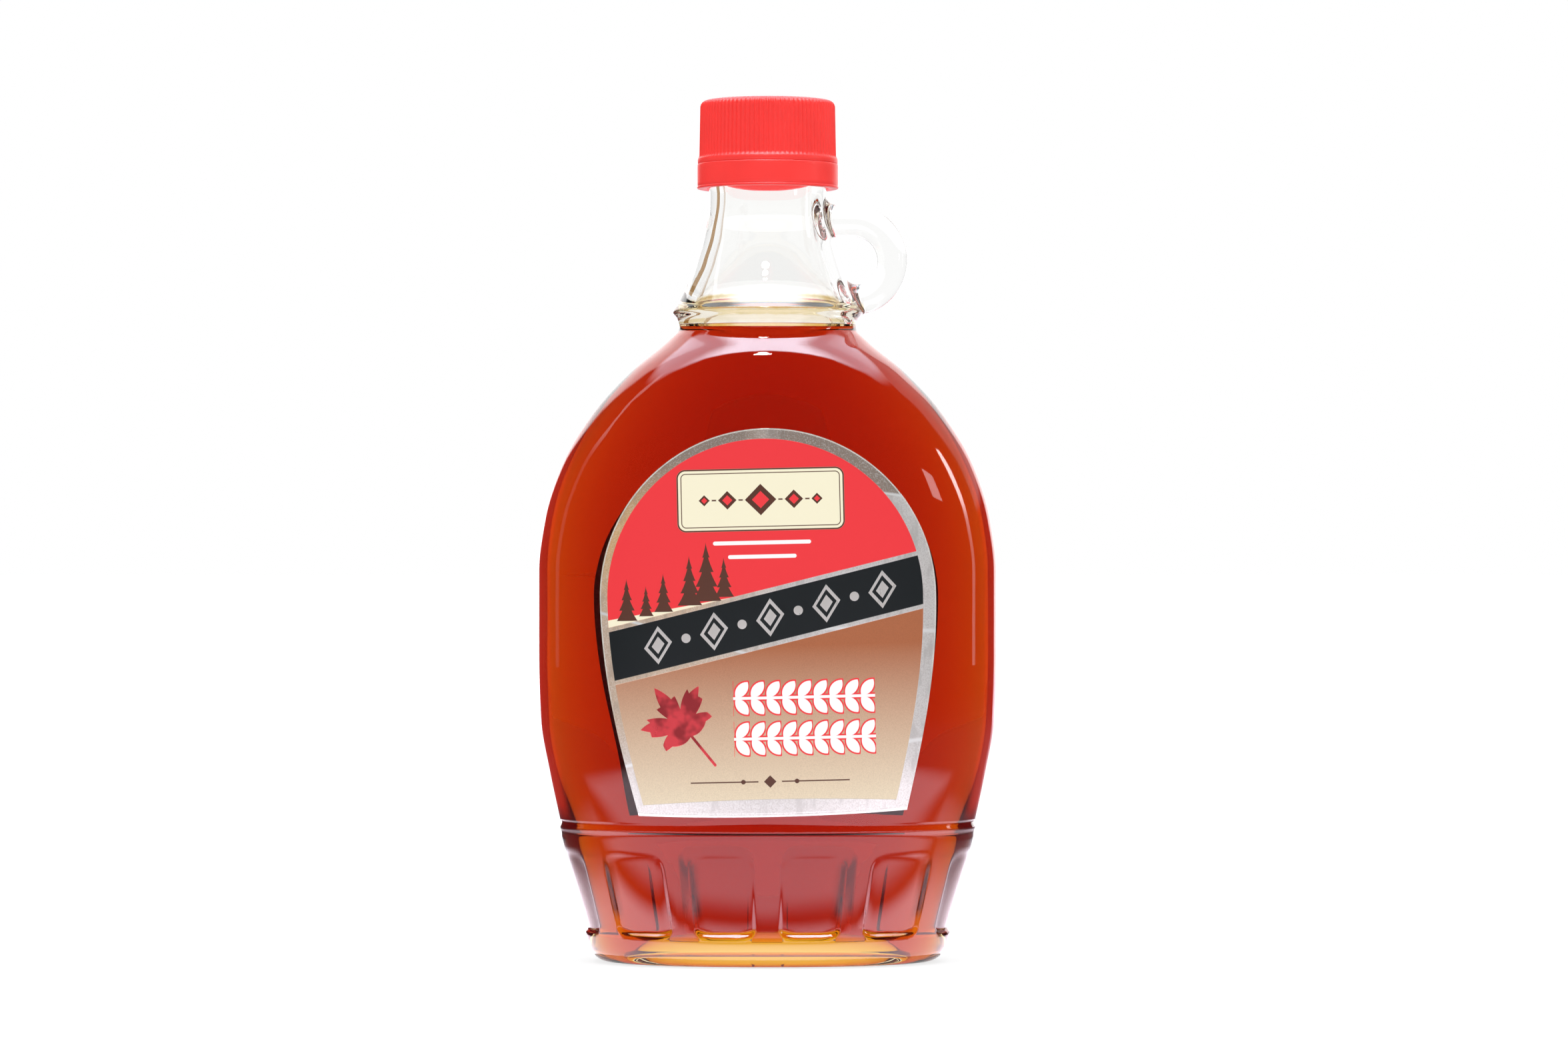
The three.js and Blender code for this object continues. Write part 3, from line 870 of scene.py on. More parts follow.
def red_plastic(name, cap):
    """Moulded plastic: a satin red with a faint unevenness of colour and a fine grain. Its bore, which
    faces the glass, has a painted deep red glow for the light that comes through the plastic."""
    paint = Paint(name)
    cloud = paint.noise(9, 3.0)
    grain = paint.noise(0.35, 2.0)
    in_bore = paint.from_axis().below(CAP_SHAPE["bore"] + 0.6, 0.5)
    return paint.finish({
        "Base Color": paint.mix(cloud.above(0.5, 0.25), opaque(cap.red, 0.93), opaque(cap.red)),
        "Roughness": 0.36 + 0.1 * grain,
        "Subsurface Weight": 0.12,
        "Subsurface Radius": (0.8, 0.12, 0.1),
        "Subsurface Scale": 0.002,
        # Painted glow on the bore
        "Emission Color": paint.mix(in_bore, BLACK, opaque(cap.glow)),
        "Emission Strength": 1.0,
        "Normal": paint.bump(grain, 0.02, 0.6),
    })


class SYRUP_FLASK_OT_closure(Operator):
    """Make the ribbed screw cap and the tamper band under it"""

    bl_idname = "syrup_flask.closure"
    bl_label = "Cap and band"

    def execute(self, context):
        cap = context.scene.syrup_flask.cap
        plastic = red_plastic("Red plastic", cap)
        self.make_cap(cap, plastic)
        self.make_band(cap, plastic)
        return {"FINISHED"}

    def make_cap(self, cap, plastic):
        """The cap's wall leans in slightly. Its ribs are r - depth (0.5 + 0.5 cos(count angle))^0.8,
        starting over the lip and fading out over the rounded top edge."""
        shape = CAP_SHAPE
        bore, lip, foot, bottom = shape["bore"], shape["lip"], shape["foot"], shape["bottom"]
        edge, crown, ceiling = 1.5, 0.12, 187.9
        ribs_start, ribs_end, columns_per_rib = 176.9, 12.8, 8
        turn = np.linspace(0, np.pi / 2, 9)
        wall_z = np.linspace(shape["ledge"] + 0.35, shape["top"] - edge, 12)
        share = (wall_z - shape["ledge"]) / (shape["top"] - shape["ledge"])
        wall_r = foot + (shape["head"] - foot) * share
        dome = np.linspace(wall_r[-1] - edge, 0, 10)[1:]
        # From the middle of the bore's ceiling, down the bore and round the lip
        inner = [
            (0, ceiling), (bore - 0.4, ceiling), (bore, ceiling - 0.4), (bore, bottom + 0.2),
            (bore + 0.2, bottom), (lip - 0.12, bottom), (lip, bottom + 0.12), (lip, 176.6),
            (15.38, 176.8),
        ]
        # In over the ledge, up the wall, round the top edge and over the slightly domed top
        rounded_r = wall_r[-1] - edge + edge * np.cos(turn)
        rounded_z = shape["top"] - edge - crown + edge * np.sin(turn)
        profile = np.concatenate([
            inner,
            [(15.3, 176.95), (15.1, 177.4), (foot + 0.01, 177.6)],
            np.stack([wall_r, wall_z], -1),
            np.stack([rounded_r, rounded_z], -1)[1:],
            np.stack([dome, shape["top"] - crown * (dome / dome[0]) ** 2], -1),
        ])
        radius, z = profile.T
        columns = cap.rib_count * columns_per_rib
        angle = np.linspace(0, 2 * np.pi, columns, endpoint=False)
        groove = (0.5 + 0.5 * np.cos(cap.rib_count * angle)) ** 0.8
        outer = np.arange(len(z)) >= len(inner)
        fade = ease((z - ribs_start) / 0.6) * ease((radius - ribs_end) / 1.6) * outer
        change = -cap.rib_depth / MM * fade[:, None] * groove[None, :]
        piece = turned("cap_shell", profile, columns, change)
        dress(piece, "cap", "red_plastic", plastic)

    def make_band(self, cap, plastic):
        """A ring with a thin rolled lip at its foot, and the small bridges that tear when the cap is
        turned."""
        shape = BAND_SHAPE
        bottom, top, radius, bore = (shape[key] for key in ("bottom", "top", "radius", "bore"))
        roll = 0.28
        turn = np.linspace(-np.pi / 2, np.pi / 2, 7)
        rolled_r, rolled_z = radius - roll + roll * np.cos(turn), bottom + roll + roll * np.sin(turn)
        profile = np.concatenate([
            np.stack([rolled_r, rolled_z], -1),
            [(radius - 0.12, bottom + 0.75), (radius - 0.1, bottom + 1.4), (radius - 0.1, top - 0.9)],
            [(radius - 0.11, top - 0.3), (radius - 0.17, top - 0.08), (radius - 0.3, top)],
            [(bore + 0.4, top), (bore + 0.1, top - 0.15), (bore, top - 0.5), (bore, bottom + 0.5)],
            [(bore + 0.1, bottom + 0.15), (bore + 0.4, bottom)],
        ])
        count, columns = len(profile), 192
        angle = np.linspace(0, 2 * np.pi, columns, endpoint=False)
        reach, z = profile.T[:, :, None]
        ring = np.stack(np.broadcast_arrays(reach * np.sin(angle), -reach * np.cos(angle), z), -1)
        row, column = np.meshgrid(np.arange(count), np.arange(columns), indexing="ij")
        next_row, next_column = (row + 1) % count, (column + 1) % columns
        quads = np.stack([
            row * columns + column, row * columns + next_column,
            next_row * columns + next_column, next_row * columns + column,
        ], -1).reshape(-1, 4)
        # Bridges: little boxes from the band's top up to the cap's lip, each turned about the neck
        corner = np.array([(x, y, z) for x in (-1, 1) for y in (-1, 1) for z in (-1, 1)], float)
        into_ring, set_back, first_turn = 0.05, 0.75, 0.1
        half = np.array([0.35, 0.25, (CAP_SHAPE["bottom"] - top) / 2 + into_ring])
        middle = np.array([0, -(radius - set_back), (CAP_SHAPE["bottom"] + top) / 2])
        local = corner * half + middle
        spin = np.arange(cap.bridge_count) / cap.bridge_count * 2 * np.pi + first_turn
        cos, sin = np.cos(spin)[:, None], np.sin(spin)[:, None]
        bridges = np.stack([
            cos * local[:, 0] - sin * local[:, 1],
            sin * local[:, 0] + cos * local[:, 1],
            np.broadcast_to(local[:, 2], (cap.bridge_count, 8)),
        ], -1).reshape(-1, 3)
        box = np.array([
            (0, 1, 3, 2), (4, 6, 7, 5), (0, 4, 5, 1), (2, 3, 7, 6), (0, 2, 6, 4), (1, 5, 7, 3)
        ])
        boxes = (box[None] + (count * columns + 8 * np.arange(cap.bridge_count))[:, None, None])
        points = np.concatenate([ring.reshape(-1, 3), bridges])
        piece = make_mesh("tamper_ring", points, [quads, boxes.reshape(-1, 4)])
        dress(piece, "tamper_band", "red_plastic", plastic)


# Labels

# Heights of the label's foot and of the middle of its round top, and how far its foot bows down
LABEL_SHAPE = {"bottom": 33.6, "shoulder": 80.5, "bow": 0.7}
LABEL_MIDDLE = (LABEL_SHAPE["bottom"] + LABEL_SHAPE["shoulder"]) / 2
# Which face of the flask a label is on, its half widths at its widest and at its foot, how far its
# middle is to +X, and its tilt in degrees
FRONT_PLACE = {"side": -1, "half_width": 36.5, "foot": 29.1, "shift": 0.65, "tilt": 1.3}
BACK_PLACE = {"side": 1, "half_width": 33.6, "foot": 26.2, "shift": -0.3, "tilt": 0.0}


def label_half_width(place, z):
    """Half width of the horseshoe: a circle above its shoulder, and below it a quarter of a sine
    from the foot out to the shoulder."""
    bottom, shoulder = LABEL_SHAPE["bottom"], LABEL_SHAPE["shoulder"]
    share = np.clip((z - bottom) / (shoulder - bottom), 0, 1)
    taper = place["foot"] + (place["half_width"] - place["foot"]) * np.sin(share * np.pi / 2)
    round_top = np.sqrt(np.maximum(place["half_width"] ** 2 - (z - shoulder) ** 2, 0))
    return np.where(z > shoulder, round_top, taper)


def label_sheet(name, place, thickness):
    """A closed thin sheet over the flask's face, its back just in the glass and its front out of it.

    Each row of the sheet is as wide as the horseshoe is there, and is then tilted about the label's
    middle. Its glued back is the second of its materials.
    """
    shape = LABEL_SHAPE
    columns = 81
    bowed_height = 30
    turn = np.linspace(0, np.pi / 2 - 0.02, 50)
    low = np.linspace(shape["bottom"], shape["shoulder"], 50, endpoint=False)
    height = np.concatenate([low, shape["shoulder"] + place["half_width"] * np.sin(turn)])[:, None]
    across = np.sin(np.linspace(-np.pi / 2, np.pi / 2, columns))[None, :]
    lowness = np.clip(1 - (height - shape["bottom"]) / bowed_height, 0, 1)
    x0 = across * label_half_width(place, height)
    z0 = height - shape["bow"] * lowness * (1 - across**2) - LABEL_MIDDLE
    tilt = np.radians(place["tilt"])
    x = x0 * np.cos(tilt) - z0 * np.sin(tilt) + place["shift"]
    z = x0 * np.sin(tilt) + z0 * np.cos(tilt) + LABEL_MIDDLE
    face = front_face(x, z)
    sunk = 0.04
    sheets = [np.stack([x, place["side"] * (face + off), z], -1) for off in (thickness - sunk, -sunk)]
    points = np.concatenate([sheet.reshape(-1, 3) for sheet in sheets])
    rows = x.shape[0]
    row, column = np.meshgrid(np.arange(rows - 1), np.arange(columns - 1), indexing="ij")
    first = (row * columns + column).reshape(-1)
    front = np.stack([first, first + 1, first + columns + 1, first + columns], -1)
    back = front[:, ::-1] + rows * columns
    # The rim round the outline, from the front sheet to the back one
    outline = np.concatenate([
        np.arange(columns), np.arange(1, rows) * columns + columns - 1,
        (rows - 1) * columns + np.arange(columns - 2, -1, -1), np.arange(rows - 2, 0, -1) * columns,
    ])
    ahead = np.roll(outline, -1)
    rim = np.stack([ahead, outline, outline + rows * columns, ahead + rows * columns], -1)
    faces = [front, back, rim]
    if place["side"] > 0:
        faces = [block[:, ::-1] for block in faces]
    glued = np.repeat(np.array([0, 1, 0], np.int32), [len(block) for block in faces])
    return make_mesh(name, points, faces, glued)


# Share of the foil that mirrors the room
FOIL_MIRROR = 0.5


class Print:
    """A label's artwork: fields laid one over another on foil, in the label's own millimetres, x to
    the right and y up from the table, as the label stands. Foil is part mirror and part plain pale
    metal, with fine flecks and wider wrinkles."""

    def __init__(self, name, place, foil):
        paint = Paint(name)
        cos, sin = cos_and_sin(place["tilt"])
        x, z = paint.place("X"), paint.place("Z")
        right, up = (x - place["shift"]) * -place["side"], z - LABEL_MIDDLE
        self.paint = paint
        self.place = place
        self.x = right * cos + up * sin
        self.y = up * cos - right * sin + LABEL_MIDDLE
        self.flecks = paint.noise(0.3, 2.0)
        self.wrinkles = paint.noise(3.2, 3.0, (0.6, 1, 1.7))
        self.colour = foil
        self.metal = FOIL_MIRROR
        self.rough = 0.34

    def tint(self, mask, colour):
        """Tints what is there, where the mask is 1, and leaves its shine as it is."""
        self.colour = self.paint.mix(mask, self.colour, colour)

    def lay(self, mask, colour, metal=0.0, rough=0.42):
        """Lays a printed colour over what is there, where the mask is 1."""
        self.tint(mask, colour)
        self.metal = self.metal + mask * (metal - self.metal)
        self.rough = self.rough + mask * (rough - self.rough)

    def lay_foil(self, mask, colour):
        """Lays fresh foil over what is there, where the mask is 1."""
        self.lay(mask, colour, FOIL_MIRROR, 0.3)

    def glints_and_wrinkle_shade(self):
        """Gives the foil fine bright flecks, which are painted glints, darker flecks, and painted
        shade in its wrinkles.
        """
        self.tint(self.flecks.above(0.58, 0.08) * 0.3, (0.92, 0.92, 0.92, 1))
        # Darker flecks, and painted shade in the wrinkles
        dull_flecks_and_wrinkle_shade = (self.flecks.below(0.42, 0.08) * 0.16).most(self.wrinkles.below(0.42, 0.07) * 0.2)
        self.tint(dull_flecks_and_wrinkle_shade, (0.2, 0.18, 0.16, 1))

    def finish(self):
        """Ends the material, with the foil's flecks and wrinkles as low relief."""
        relief = self.wrinkles * self.metal + self.flecks * 0.12
        return self.paint.finish({
            "Base Color": self.colour,
            "Metallic": self.metal,
            "Roughness": self.rough + self.metal * (self.wrinkles - 0.5) * 0.3,
            "Normal": self.paint.bump(relief, 0.18, 0.5),
        })

    def dot(self, x, y, radius):
        """Signed distance to a round dot."""
        return ((self.x - x) ** 2 + (self.y - y) ** 2) ** 0.5 - radius

    def box(self, x, y, half_width, half_height, corner=0.0):
        """Signed distance to a box with round corners."""
        across = abs(self.x - x) - (half_width - corner)
        up = abs(self.y - y) - (half_height - corner)
        far = (across.most(0.0) ** 2 + up.most(0.0) ** 2) ** 0.5
        return far + across.most(up).least(0.0) - corner

    def horseshoe(self, inset, shift):
        """Signed distance, near enough, to the label's outline drawn in by an inset and shifted to
        the right. Its foot bows down as a parabola, and its sides narrow as a quarter of a sine."""
        bottom, shoulder = LABEL_SHAPE["bottom"], LABEL_SHAPE["shoulder"]
        widest, foot_half = self.place["half_width"], self.place["foot"]
        foot_curve = 0.0011
        x = abs(self.x - shift)
        over = self.y - shoulder
        arch = (x * x + over.most(0.0) ** 2) ** 0.5 - (widest - inset)
        share = ((self.y - bottom) / (shoulder - bottom)).most(0.0).least(1.0)
        swing = share.math("SINE", share * (np.pi / 2))
        narrowing = (widest - foot_half) * (1 - swing)
        foot = (bottom + inset) - self.y - foot_curve * (x * x - foot_half**2)
        return (arch + narrowing).most(foot)


# How softly a printed edge ends, in millimetres
PRINT_EDGE = 0.07


def inked(distance, soft=PRINT_EDGE):
    """1 inside a shape, from the signed distance to its edge."""
    return distance.below(0.0, soft)


def cos_and_sin(degrees):
    """The cosine and the sine of an angle, as plain numbers for sockets."""
    return float(np.cos(np.radians(degrees))), float(np.sin(np.radians(degrees)))


def leaf_distance(art, x, y, length, turn):
    """Signed distance, near enough, to a five-lobed leaf with small side points.

    The leaf is the same on both sides of its axis. Its edge is a line of straight runs in polar
    coordinates, from the tip (0 degrees) round to the stalk (180), as (angle, share of the length).
    """
    edge = [
        (0, 1.0), (13, 0.62), (21, 0.66), (27, 0.36), (43, 0.78), (47, 0.7), (58, 0.9), (63, 0.7),
        (72, 0.7), (82, 0.37), (96, 0.58), (108, 0.63), (114, 0.48), (135, 0.4), (165, 0.3),
        (180, 0.26),
    ]
    slope_share = 0.6
    right, up = art.x - x, art.y - y
    cos, sin = cos_and_sin(turn)
    side = abs(right * cos + up * sin)
    along = up * cos - right * sin
    angle = side.math("ARCTAN2", side, along) / np.pi
    curve = art.paint.node("ShaderNodeFloatCurve", {}, {"Value": angle})
    mapping = curve.socket.node.mapping
    points = mapping.curves[0].points
    points[0].location = (0, edge[0][1])
    points[1].location = (1, edge[-1][1])
    for degrees, share in edge[1:-1]:
        points.new(degrees / 180, share)
    for point in points:
        point.handle_type = "VECTOR"
    mapping.update()
    return ((side * side + along * along) ** 0.5 - curve * length) * slope_share


def garland(art, y, left, pitch):
    """Signed distance to a row of almond leaves that slant from a stem, the same above and below.

    A leaf is the overlap of two circles of radius r through both of its tips.
    """
    long, half, stem, start, off_stem = 4.3, 1.15, 0.3, 0.35, 0.15
    radius = ((long / 2) ** 2 + half**2) / (2 * half)
    cos, sin = cos_and_sin(52)
    across = (art.x - left) % pitch - start
    away = abs(art.y - y)
    along = across * cos + away * sin - (long / 2 + off_stem)
    side = abs(away * cos - across * sin)
    leaf = (along * along + (side + (radius - half)) ** 2) ** 0.5 - radius
    return leaf.least(away - stem)


def stroke(art, start, end, half_width):
    """Signed distance to a straight stroke with round ends."""
    (x0, y0), (x1, y1) = start, end
    long = float(np.hypot(x1 - x0, y1 - y0))
    ux, uy = (x1 - x0) / long, (y1 - y0) / long
    right, up = art.x - x0, art.y - y0
    along = right * ux + up * uy
    side = right * -uy + up * ux
    past = along - along.most(0.0).least(long)
    return (past * past + side * side) ** 0.5 - half_width


def fir(art, x, foot, height, half_width):
    """A fir tree's outline: half the width shrinks with height and steps out at each tier."""
    tiers, widest, drawn_in = 4, 1.05, 0.42
    up = art.y - foot
    tier = (up / (height / tiers)) % 1.0
    reach = (height - up) * (half_width / height) * (widest - drawn_in * tier)
    return (abs(art.x - x) - reach).most(-up)


# The front label's black band, at the label's middle: its lower and upper edge, the width of the
# silver line along each, and how much it climbs to the right
BAND_LOW, BAND_HIGH, BAND_LINE, BAND_CLIMB = 70.6, 81.4, 0.95, 0.2255
BAND_MIDDLE = (BAND_LOW + BAND_HIGH) / 2
FIELD_FOOT = BAND_HIGH + BAND_LINE


def front_print(label):
    """The front label: silver foil under a red field, a black band that climbs to the right between
    silver lines, a tan field, a cream plaque, firs on a snowy slope, ornaments and a foil leaf."""
    art = Print("Front label print", FRONT_PLACE, opaque(label.silver))
    inside = inked(art.horseshoe(2.25, -0.6))
    rise = art.y - BAND_CLIMB * art.x
    painted_foil_reflections(art, label)
    art.glints_and_wrinkle_shade()
    foil_crease_highlights(art)
    winter_field(art, label, inside, rise)
    tan_field(art, label, inside, rise)
    black_band(art, label, inside, rise)
    plaque(art, label)
    foil_leaf(art, label)
    garlands(art, label)
    foot_rule(art, label)
    return art.finish()


def painted_foil_reflections(art, label):
    """Painted reflections on the foil edge: tan and orange on the left, and dark at its top up to a
    sharp fold on the right. A pale line runs along its rim."""
    paint = art.paint
    # Painted reflections: tan and orange on the left of the foil, dark at its top
    warm_reflection = paint.mix(art.y.above(84.0, 12.0), (0.74, 0.57, 0.43, 1), (0.9, 0.57, 0.28, 1))
    on_left = art.x.below(-6.0, 14.0) * art.y.above(47.0, 9.0)
    art.colour = paint.mix(on_left, opaque(label.silver), warm_reflection)
    dark_reflection_left = art.y.above(104.0, 9.0) * art.x.below(0.0, 6.0)
    dark_reflection_right = art.y.above(101.8, 0.35) * art.x.above(0.0, 6.0)
    art.tint(dark_reflection_left.most(dark_reflection_right), (0.37, 0.29, 0.24, 1))
    rim = inked(abs(art.horseshoe(0.0, 0.0) + 0.18) - 0.12)
    art.tint(rim * art.y.above(60.0, 10.0), (0.95, 0.9, 0.82, 1))


def foil_crease_highlights(art):
    """Painted highlights along creases across the foil edge, as (side, height, slope, half width).
    They are measured where the foil edge is about 32 mm from the middle."""
    edge_x = 32
    creases = [
        (-1, 76.5, -0.3, 0.3), (-1, 44.4, 0.2, 0.35), (1, 101.4, -0.15, 0.3), (1, 72.5, -0.05, 0.4),
        (1, 48.8, 0.1, 0.4),
    ]
    for side, height, slope, half in creases:
        # Painted highlight along each one
        painted_crease_tone = inked(abs(art.y - height - slope * (art.x - side * edge_x)) - half, 0.3)
        art.tint(painted_crease_tone * (art.x * side).above(0.0, 1.0), (0.9, 0.89, 0.88, 1))


def winter_field(art, label, inside, rise):
    """The red field, with snow along the foot of its left half and firs on it, as (x, height)."""
    over_band = rise.above(FIELD_FOOT, PRINT_EDGE)
    art.lay(inside * over_band, opaque(label.red), rough=0.36)
    slope = rise - FIELD_FOOT + 0.06 * (art.x + 8)
    snow = inside * inked(slope) * over_band * art.x.below(-7.0, 1.0)
    art.lay(snow, opaque(label.cream))
    sunk, slimness = 0.5, 0.24
    firs = [(-30.6, 9.0), (-26.4, 6.4), (-22.6, 8.2), (-16.9, 10.6), (-13.2, 12.6), (-9.4, 8.4)]
    for x, height in firs:
        ground = FIELD_FOOT + BAND_CLIMB * x + sunk
        tree = fir(art, x, ground, height, height * slimness)
        art.lay(inside * inked(tree), opaque(label.brown))


def tan_field(art, label, inside, rise):
    """The tan field pales downwards, and has a fine printed grain."""
    pale_foot, fade = 36.0, 34.0
    tan = art.paint.mix((art.y - pale_foot) / fade, opaque(label.tan_low), opaque(label.tan_high))
    grain = art.paint.noise(0.22, 1.0).above(0.52, 0.2) * 0.12
    grained = art.paint.mix(grain, tan, opaque(label.brown))
    art.lay(inside * rise.below(BAND_LOW - BAND_LINE, PRINT_EDGE), grained, rough=0.44)


def black_band(art, label, inside, rise):
    """The black band, with silver lozenges and dots by turns along it."""
    band = abs(rise - BAND_MIDDLE) - (BAND_HIGH - BAND_LOW) / 2
    art.lay(inside * inked(band), opaque(label.black), rough=0.3)
    first, step, count = -24.0, 6.1, 9
    for i in range(count):
        x = first + i * step
        y = BAND_MIDDLE + BAND_CLIMB * x
        if i % 2:
            art.lay_foil(inked(art.dot(x, y, 1.0)), opaque(label.silver))
        else:
            up = art.y - y - BAND_CLIMB * (art.x - x)
            lozenge = (abs(art.x - x) * 1.15 + abs(up) * 0.85) - 3.5
            art.lay_foil(inked(abs(lozenge + 0.45) - 0.45), opaque(label.silver))
            art.lay_foil(inked(lozenge + 1.9), opaque(label.silver))


def plaque(art, label):
    """A cream plaque with a double key line, a row of gems on a line, as (x, half size), and fine
    white rules under it, as (y, half width)."""
    x, y = -1.1, 101.6
    board = art.box(x, y, 18.1, 6.75, 1.9)
    art.lay(inked(board), opaque(label.cream))
    for inset, half in ((0.15, 0.16), (0.95, 0.1)):
        art.lay(inked(abs(board + inset) - half), opaque(label.brown))
    line = inked(abs(art.y - y) - 0.16) * inked(abs(art.x - x) - 13.2)
    art.lay(line, opaque(label.brown))
    for gem_x, half in ((-1.1, 3.4), (-8.3, 2.0), (6.1, 2.0), (-13.3, 1.2), (11.1, 1.2)):
        gem = abs(art.x - gem_x) + abs(art.y - y) - half
        art.lay(inked(gem - 0.5), opaque(label.cream))
        art.lay(inked(gem), opaque(label.brown))
        art.lay(inked(gem + 0.45 * half), opaque(label.red))
    for rule_y, half in ((92.3, 10.6), (89.3, 7.4)):
        art.lay(inked(art.box(-1.0, rule_y, half, 0.42, 0.42)), (0.9, 0.9, 0.9, 1.0))


def foil_leaf(art, label):
    """A crinkled leaf of red foil with its stalk, painted in lit and shaded patches."""
    leaf = leaf_distance(art, -18.9, 52.9, 10.4, 36)
    stalk = stroke(art, (-19.2, 53.3), (-12.2, 44.4), 0.3)
    lit = art.paint.noise(4.0, 2.0).above(0.48, 0.1)
    lit_and_shaded_leaf = art.paint.mix(lit, opaque(label.leaf, 0.45), opaque(label.leaf))
    art.lay_foil(inked(leaf.least(stalk)), lit_and_shaded_leaf)


def garlands(art, label):
    """Two garlands of white leaves with a red key line."""
    middle, half_width, key_line = 7.35, 15.35, 0.35
    between_ends = inked(abs(art.x - middle) - half_width)
    for y in (58.7, 49.9):
        row = garland(art, y, -7.9, 3.4)
        art.lay(between_ends * inked(row - key_line), opaque(label.red), rough=0.4)
        art.lay(between_ends * inked(row), (0.95, 0.95, 0.95, 1.0), rough=0.4)


def foot_rule(art, label):
    """A fine rule near the foot, with a gem in a gap in its middle and a dot on each side of it."""
    x, y, gap, dots_off = -0.4, 40.6, 2.6, 5.8
    rule = (abs(art.y - y) - 0.14).most(abs(art.x - x) - 17.2)
    gem = abs(art.x - x) + abs(art.y - y)
    art.lay(inked(rule.most(gap - gem)), opaque(label.brown))
    art.lay(inked(gem - 1.35), opaque(label.brown))
    for dot_x in (x - dots_off, x + dots_off):
        art.lay(inked(art.dot(dot_x, y, 0.5)), opaque(label.brown))


def back_print(label):
    """The back label: a cream field edged with foil, a red top over a silver line, plain ruled lines
    and a ruled box."""
    art = Print("Back label print", BACK_PLACE, opaque(label.silver))
    art.glints_and_wrinkle_shade()
    inside = inked(art.horseshoe(2.25, 0.0))
    art.lay(inside, opaque(label.cream), rough=0.5)
    art.lay(inside * art.y.above(99.0, PRINT_EDGE), opaque(label.red), rough=0.4)
    art.lay_foil(inside * inked(abs(art.y - 98.4) - 0.6), opaque(label.silver))
    # The ruled lines stand in three blocks
    pitch, offset, half_line = 3.4, 60.0, 0.35
    lines = inked(abs((art.y + offset) % pitch - pitch / 2) - half_line)
    art.lay(lines * inked(art.box(0.0, 84.0, 24.0, 9.4)), opaque(label.brown))
    art.lay(inked(abs(art.box(0.0, 56.5, 22.0, 14.0)) - 0.22), opaque(label.brown))
    art.lay(lines * inked(art.box(-6.0, 56.5, 13.5, 11.8)), opaque(label.brown))
    art.lay(lines * inked(art.box(16.0, 56.5, 3.4, 11.8)), opaque(label.brown))
    return art.finish()


def label_back(label):
    """The glued side of a label, seen only through the flask: plain grey paper with a faint grain."""
    paint = Paint("Glued side of the labels")
    grain = paint.noise(0.6, 3.0)
    return paint.finish({
        "Base Color": paint.mix(grain.above(0.5, 0.2), opaque(label.backing), (0.5, 0.48, 0.45, 1)),
        "Roughness": 0.5 + 0.1 * grain,
        "Normal": paint.bump(grain, 0.02, 0.5),
    })


class SYRUP_FLASK_OT_labels(Operator):
    """Stick the front and the back label to the flask"""

    bl_idname = "syrup_flask.labels"
    bl_label = "Labels"

    def execute(self, context):
        label = context.scene.syrup_flask.label
        thickness = label.thickness / MM
        glued = label_back(label)
        front = label_sheet("label_front", FRONT_PLACE, thickness)
        dress(front, "front_label", "front_print", front_print(label), glued)
        back = label_sheet("label_back", BACK_PLACE, thickness)
        dress(back, "back_label", "back_print", back_print(label), glued)
        return {"FINISHED"}


# Studio

WHITE = (1, 1, 1, 1)
SOFT_LIGHT = (0.71, 0.88, 1.0, 1.0)
DEGREES = 180 / np.pi
# How often light may bounce in all, and off and through glossy and clear skins: it goes round inside
# the glass many times where the loop meets the neck
BOUNCES = {"max_bounces": 24, "glossy_bounces": 16, "transmission_bounces": 24}
# The mirrored room: its radius in metres, the height of its middle in millimetres, its own faint
# light, and the light and azimuths of the white surround behind the flask, right and left
ROOM_RADIUS, ROOM_MIDDLE, ROOM_DARK = 1.6, 100.0, 0.05
BEHIND_LIGHT, BEHIND_RIGHT, BEHIND_LEFT = 2.0, 144.0, -162.0


def show_to_mirrors(piece):
    """Hides a piece of the stage from all but mirrored rays."""
    piece.visible_camera = False
    piece.visible_diffuse = False
    piece.visible_transmission = False
    piece.visible_shadow = False
    piece.visible_volume_scatter = False


def flat_piece(name, corners, material):
    """A flat face through these corners, in metres."""
    mesh = bpy.data.meshes.new(name)
    mesh.from_pydata(corners, [], [tuple(range(len(corners)))])
    mesh.materials.append(material)
    piece = bpy.data.objects.new(name, mesh)
    bpy.context.scene.collection.objects.link(piece)
    return piece


def stage_card(name, corners, light, tint=WHITE):
    """A lit card that only reflections see."""
    card = flat_piece(name, corners, Paint(name).shine(tint, light))
    show_to_mirrors(card)
    return card


def toward(azimuth, elevation, distance, centre_z=0.1):
    """Points round the flask, from angles in degrees: azimuth from -Y towards +X, and elevation
    above the flask's middle."""
    a, e = np.broadcast_arrays(np.radians(azimuth), np.radians(elevation))
    flat = distance * np.cos(e)
    return np.stack([flat * np.sin(a), -flat * np.cos(a), centre_z + distance * np.sin(e)], -1)


def oval_corners(azimuth, elevation, half_turn, half_rise, distance):
    """Corners of an oval card round one direction."""
    angle = np.linspace(0, 2 * np.pi, 24, endpoint=False)
    across, up = azimuth + half_turn * np.cos(angle), elevation + half_rise * np.sin(angle)
    return toward(across, up, distance).tolist()


def round_room(name):
    """A ball round the flask's middle, as a lathe of rings in millimetres."""
    radius = ROOM_RADIUS / MM
    turn = np.radians(np.linspace(-90, 90, 25))
    profile = np.stack([radius * np.cos(turn), ROOM_MIDDLE + radius * np.sin(turn)], -1)
    profile[[0, -1], 0] = 0
    return turned(name, profile, 48)


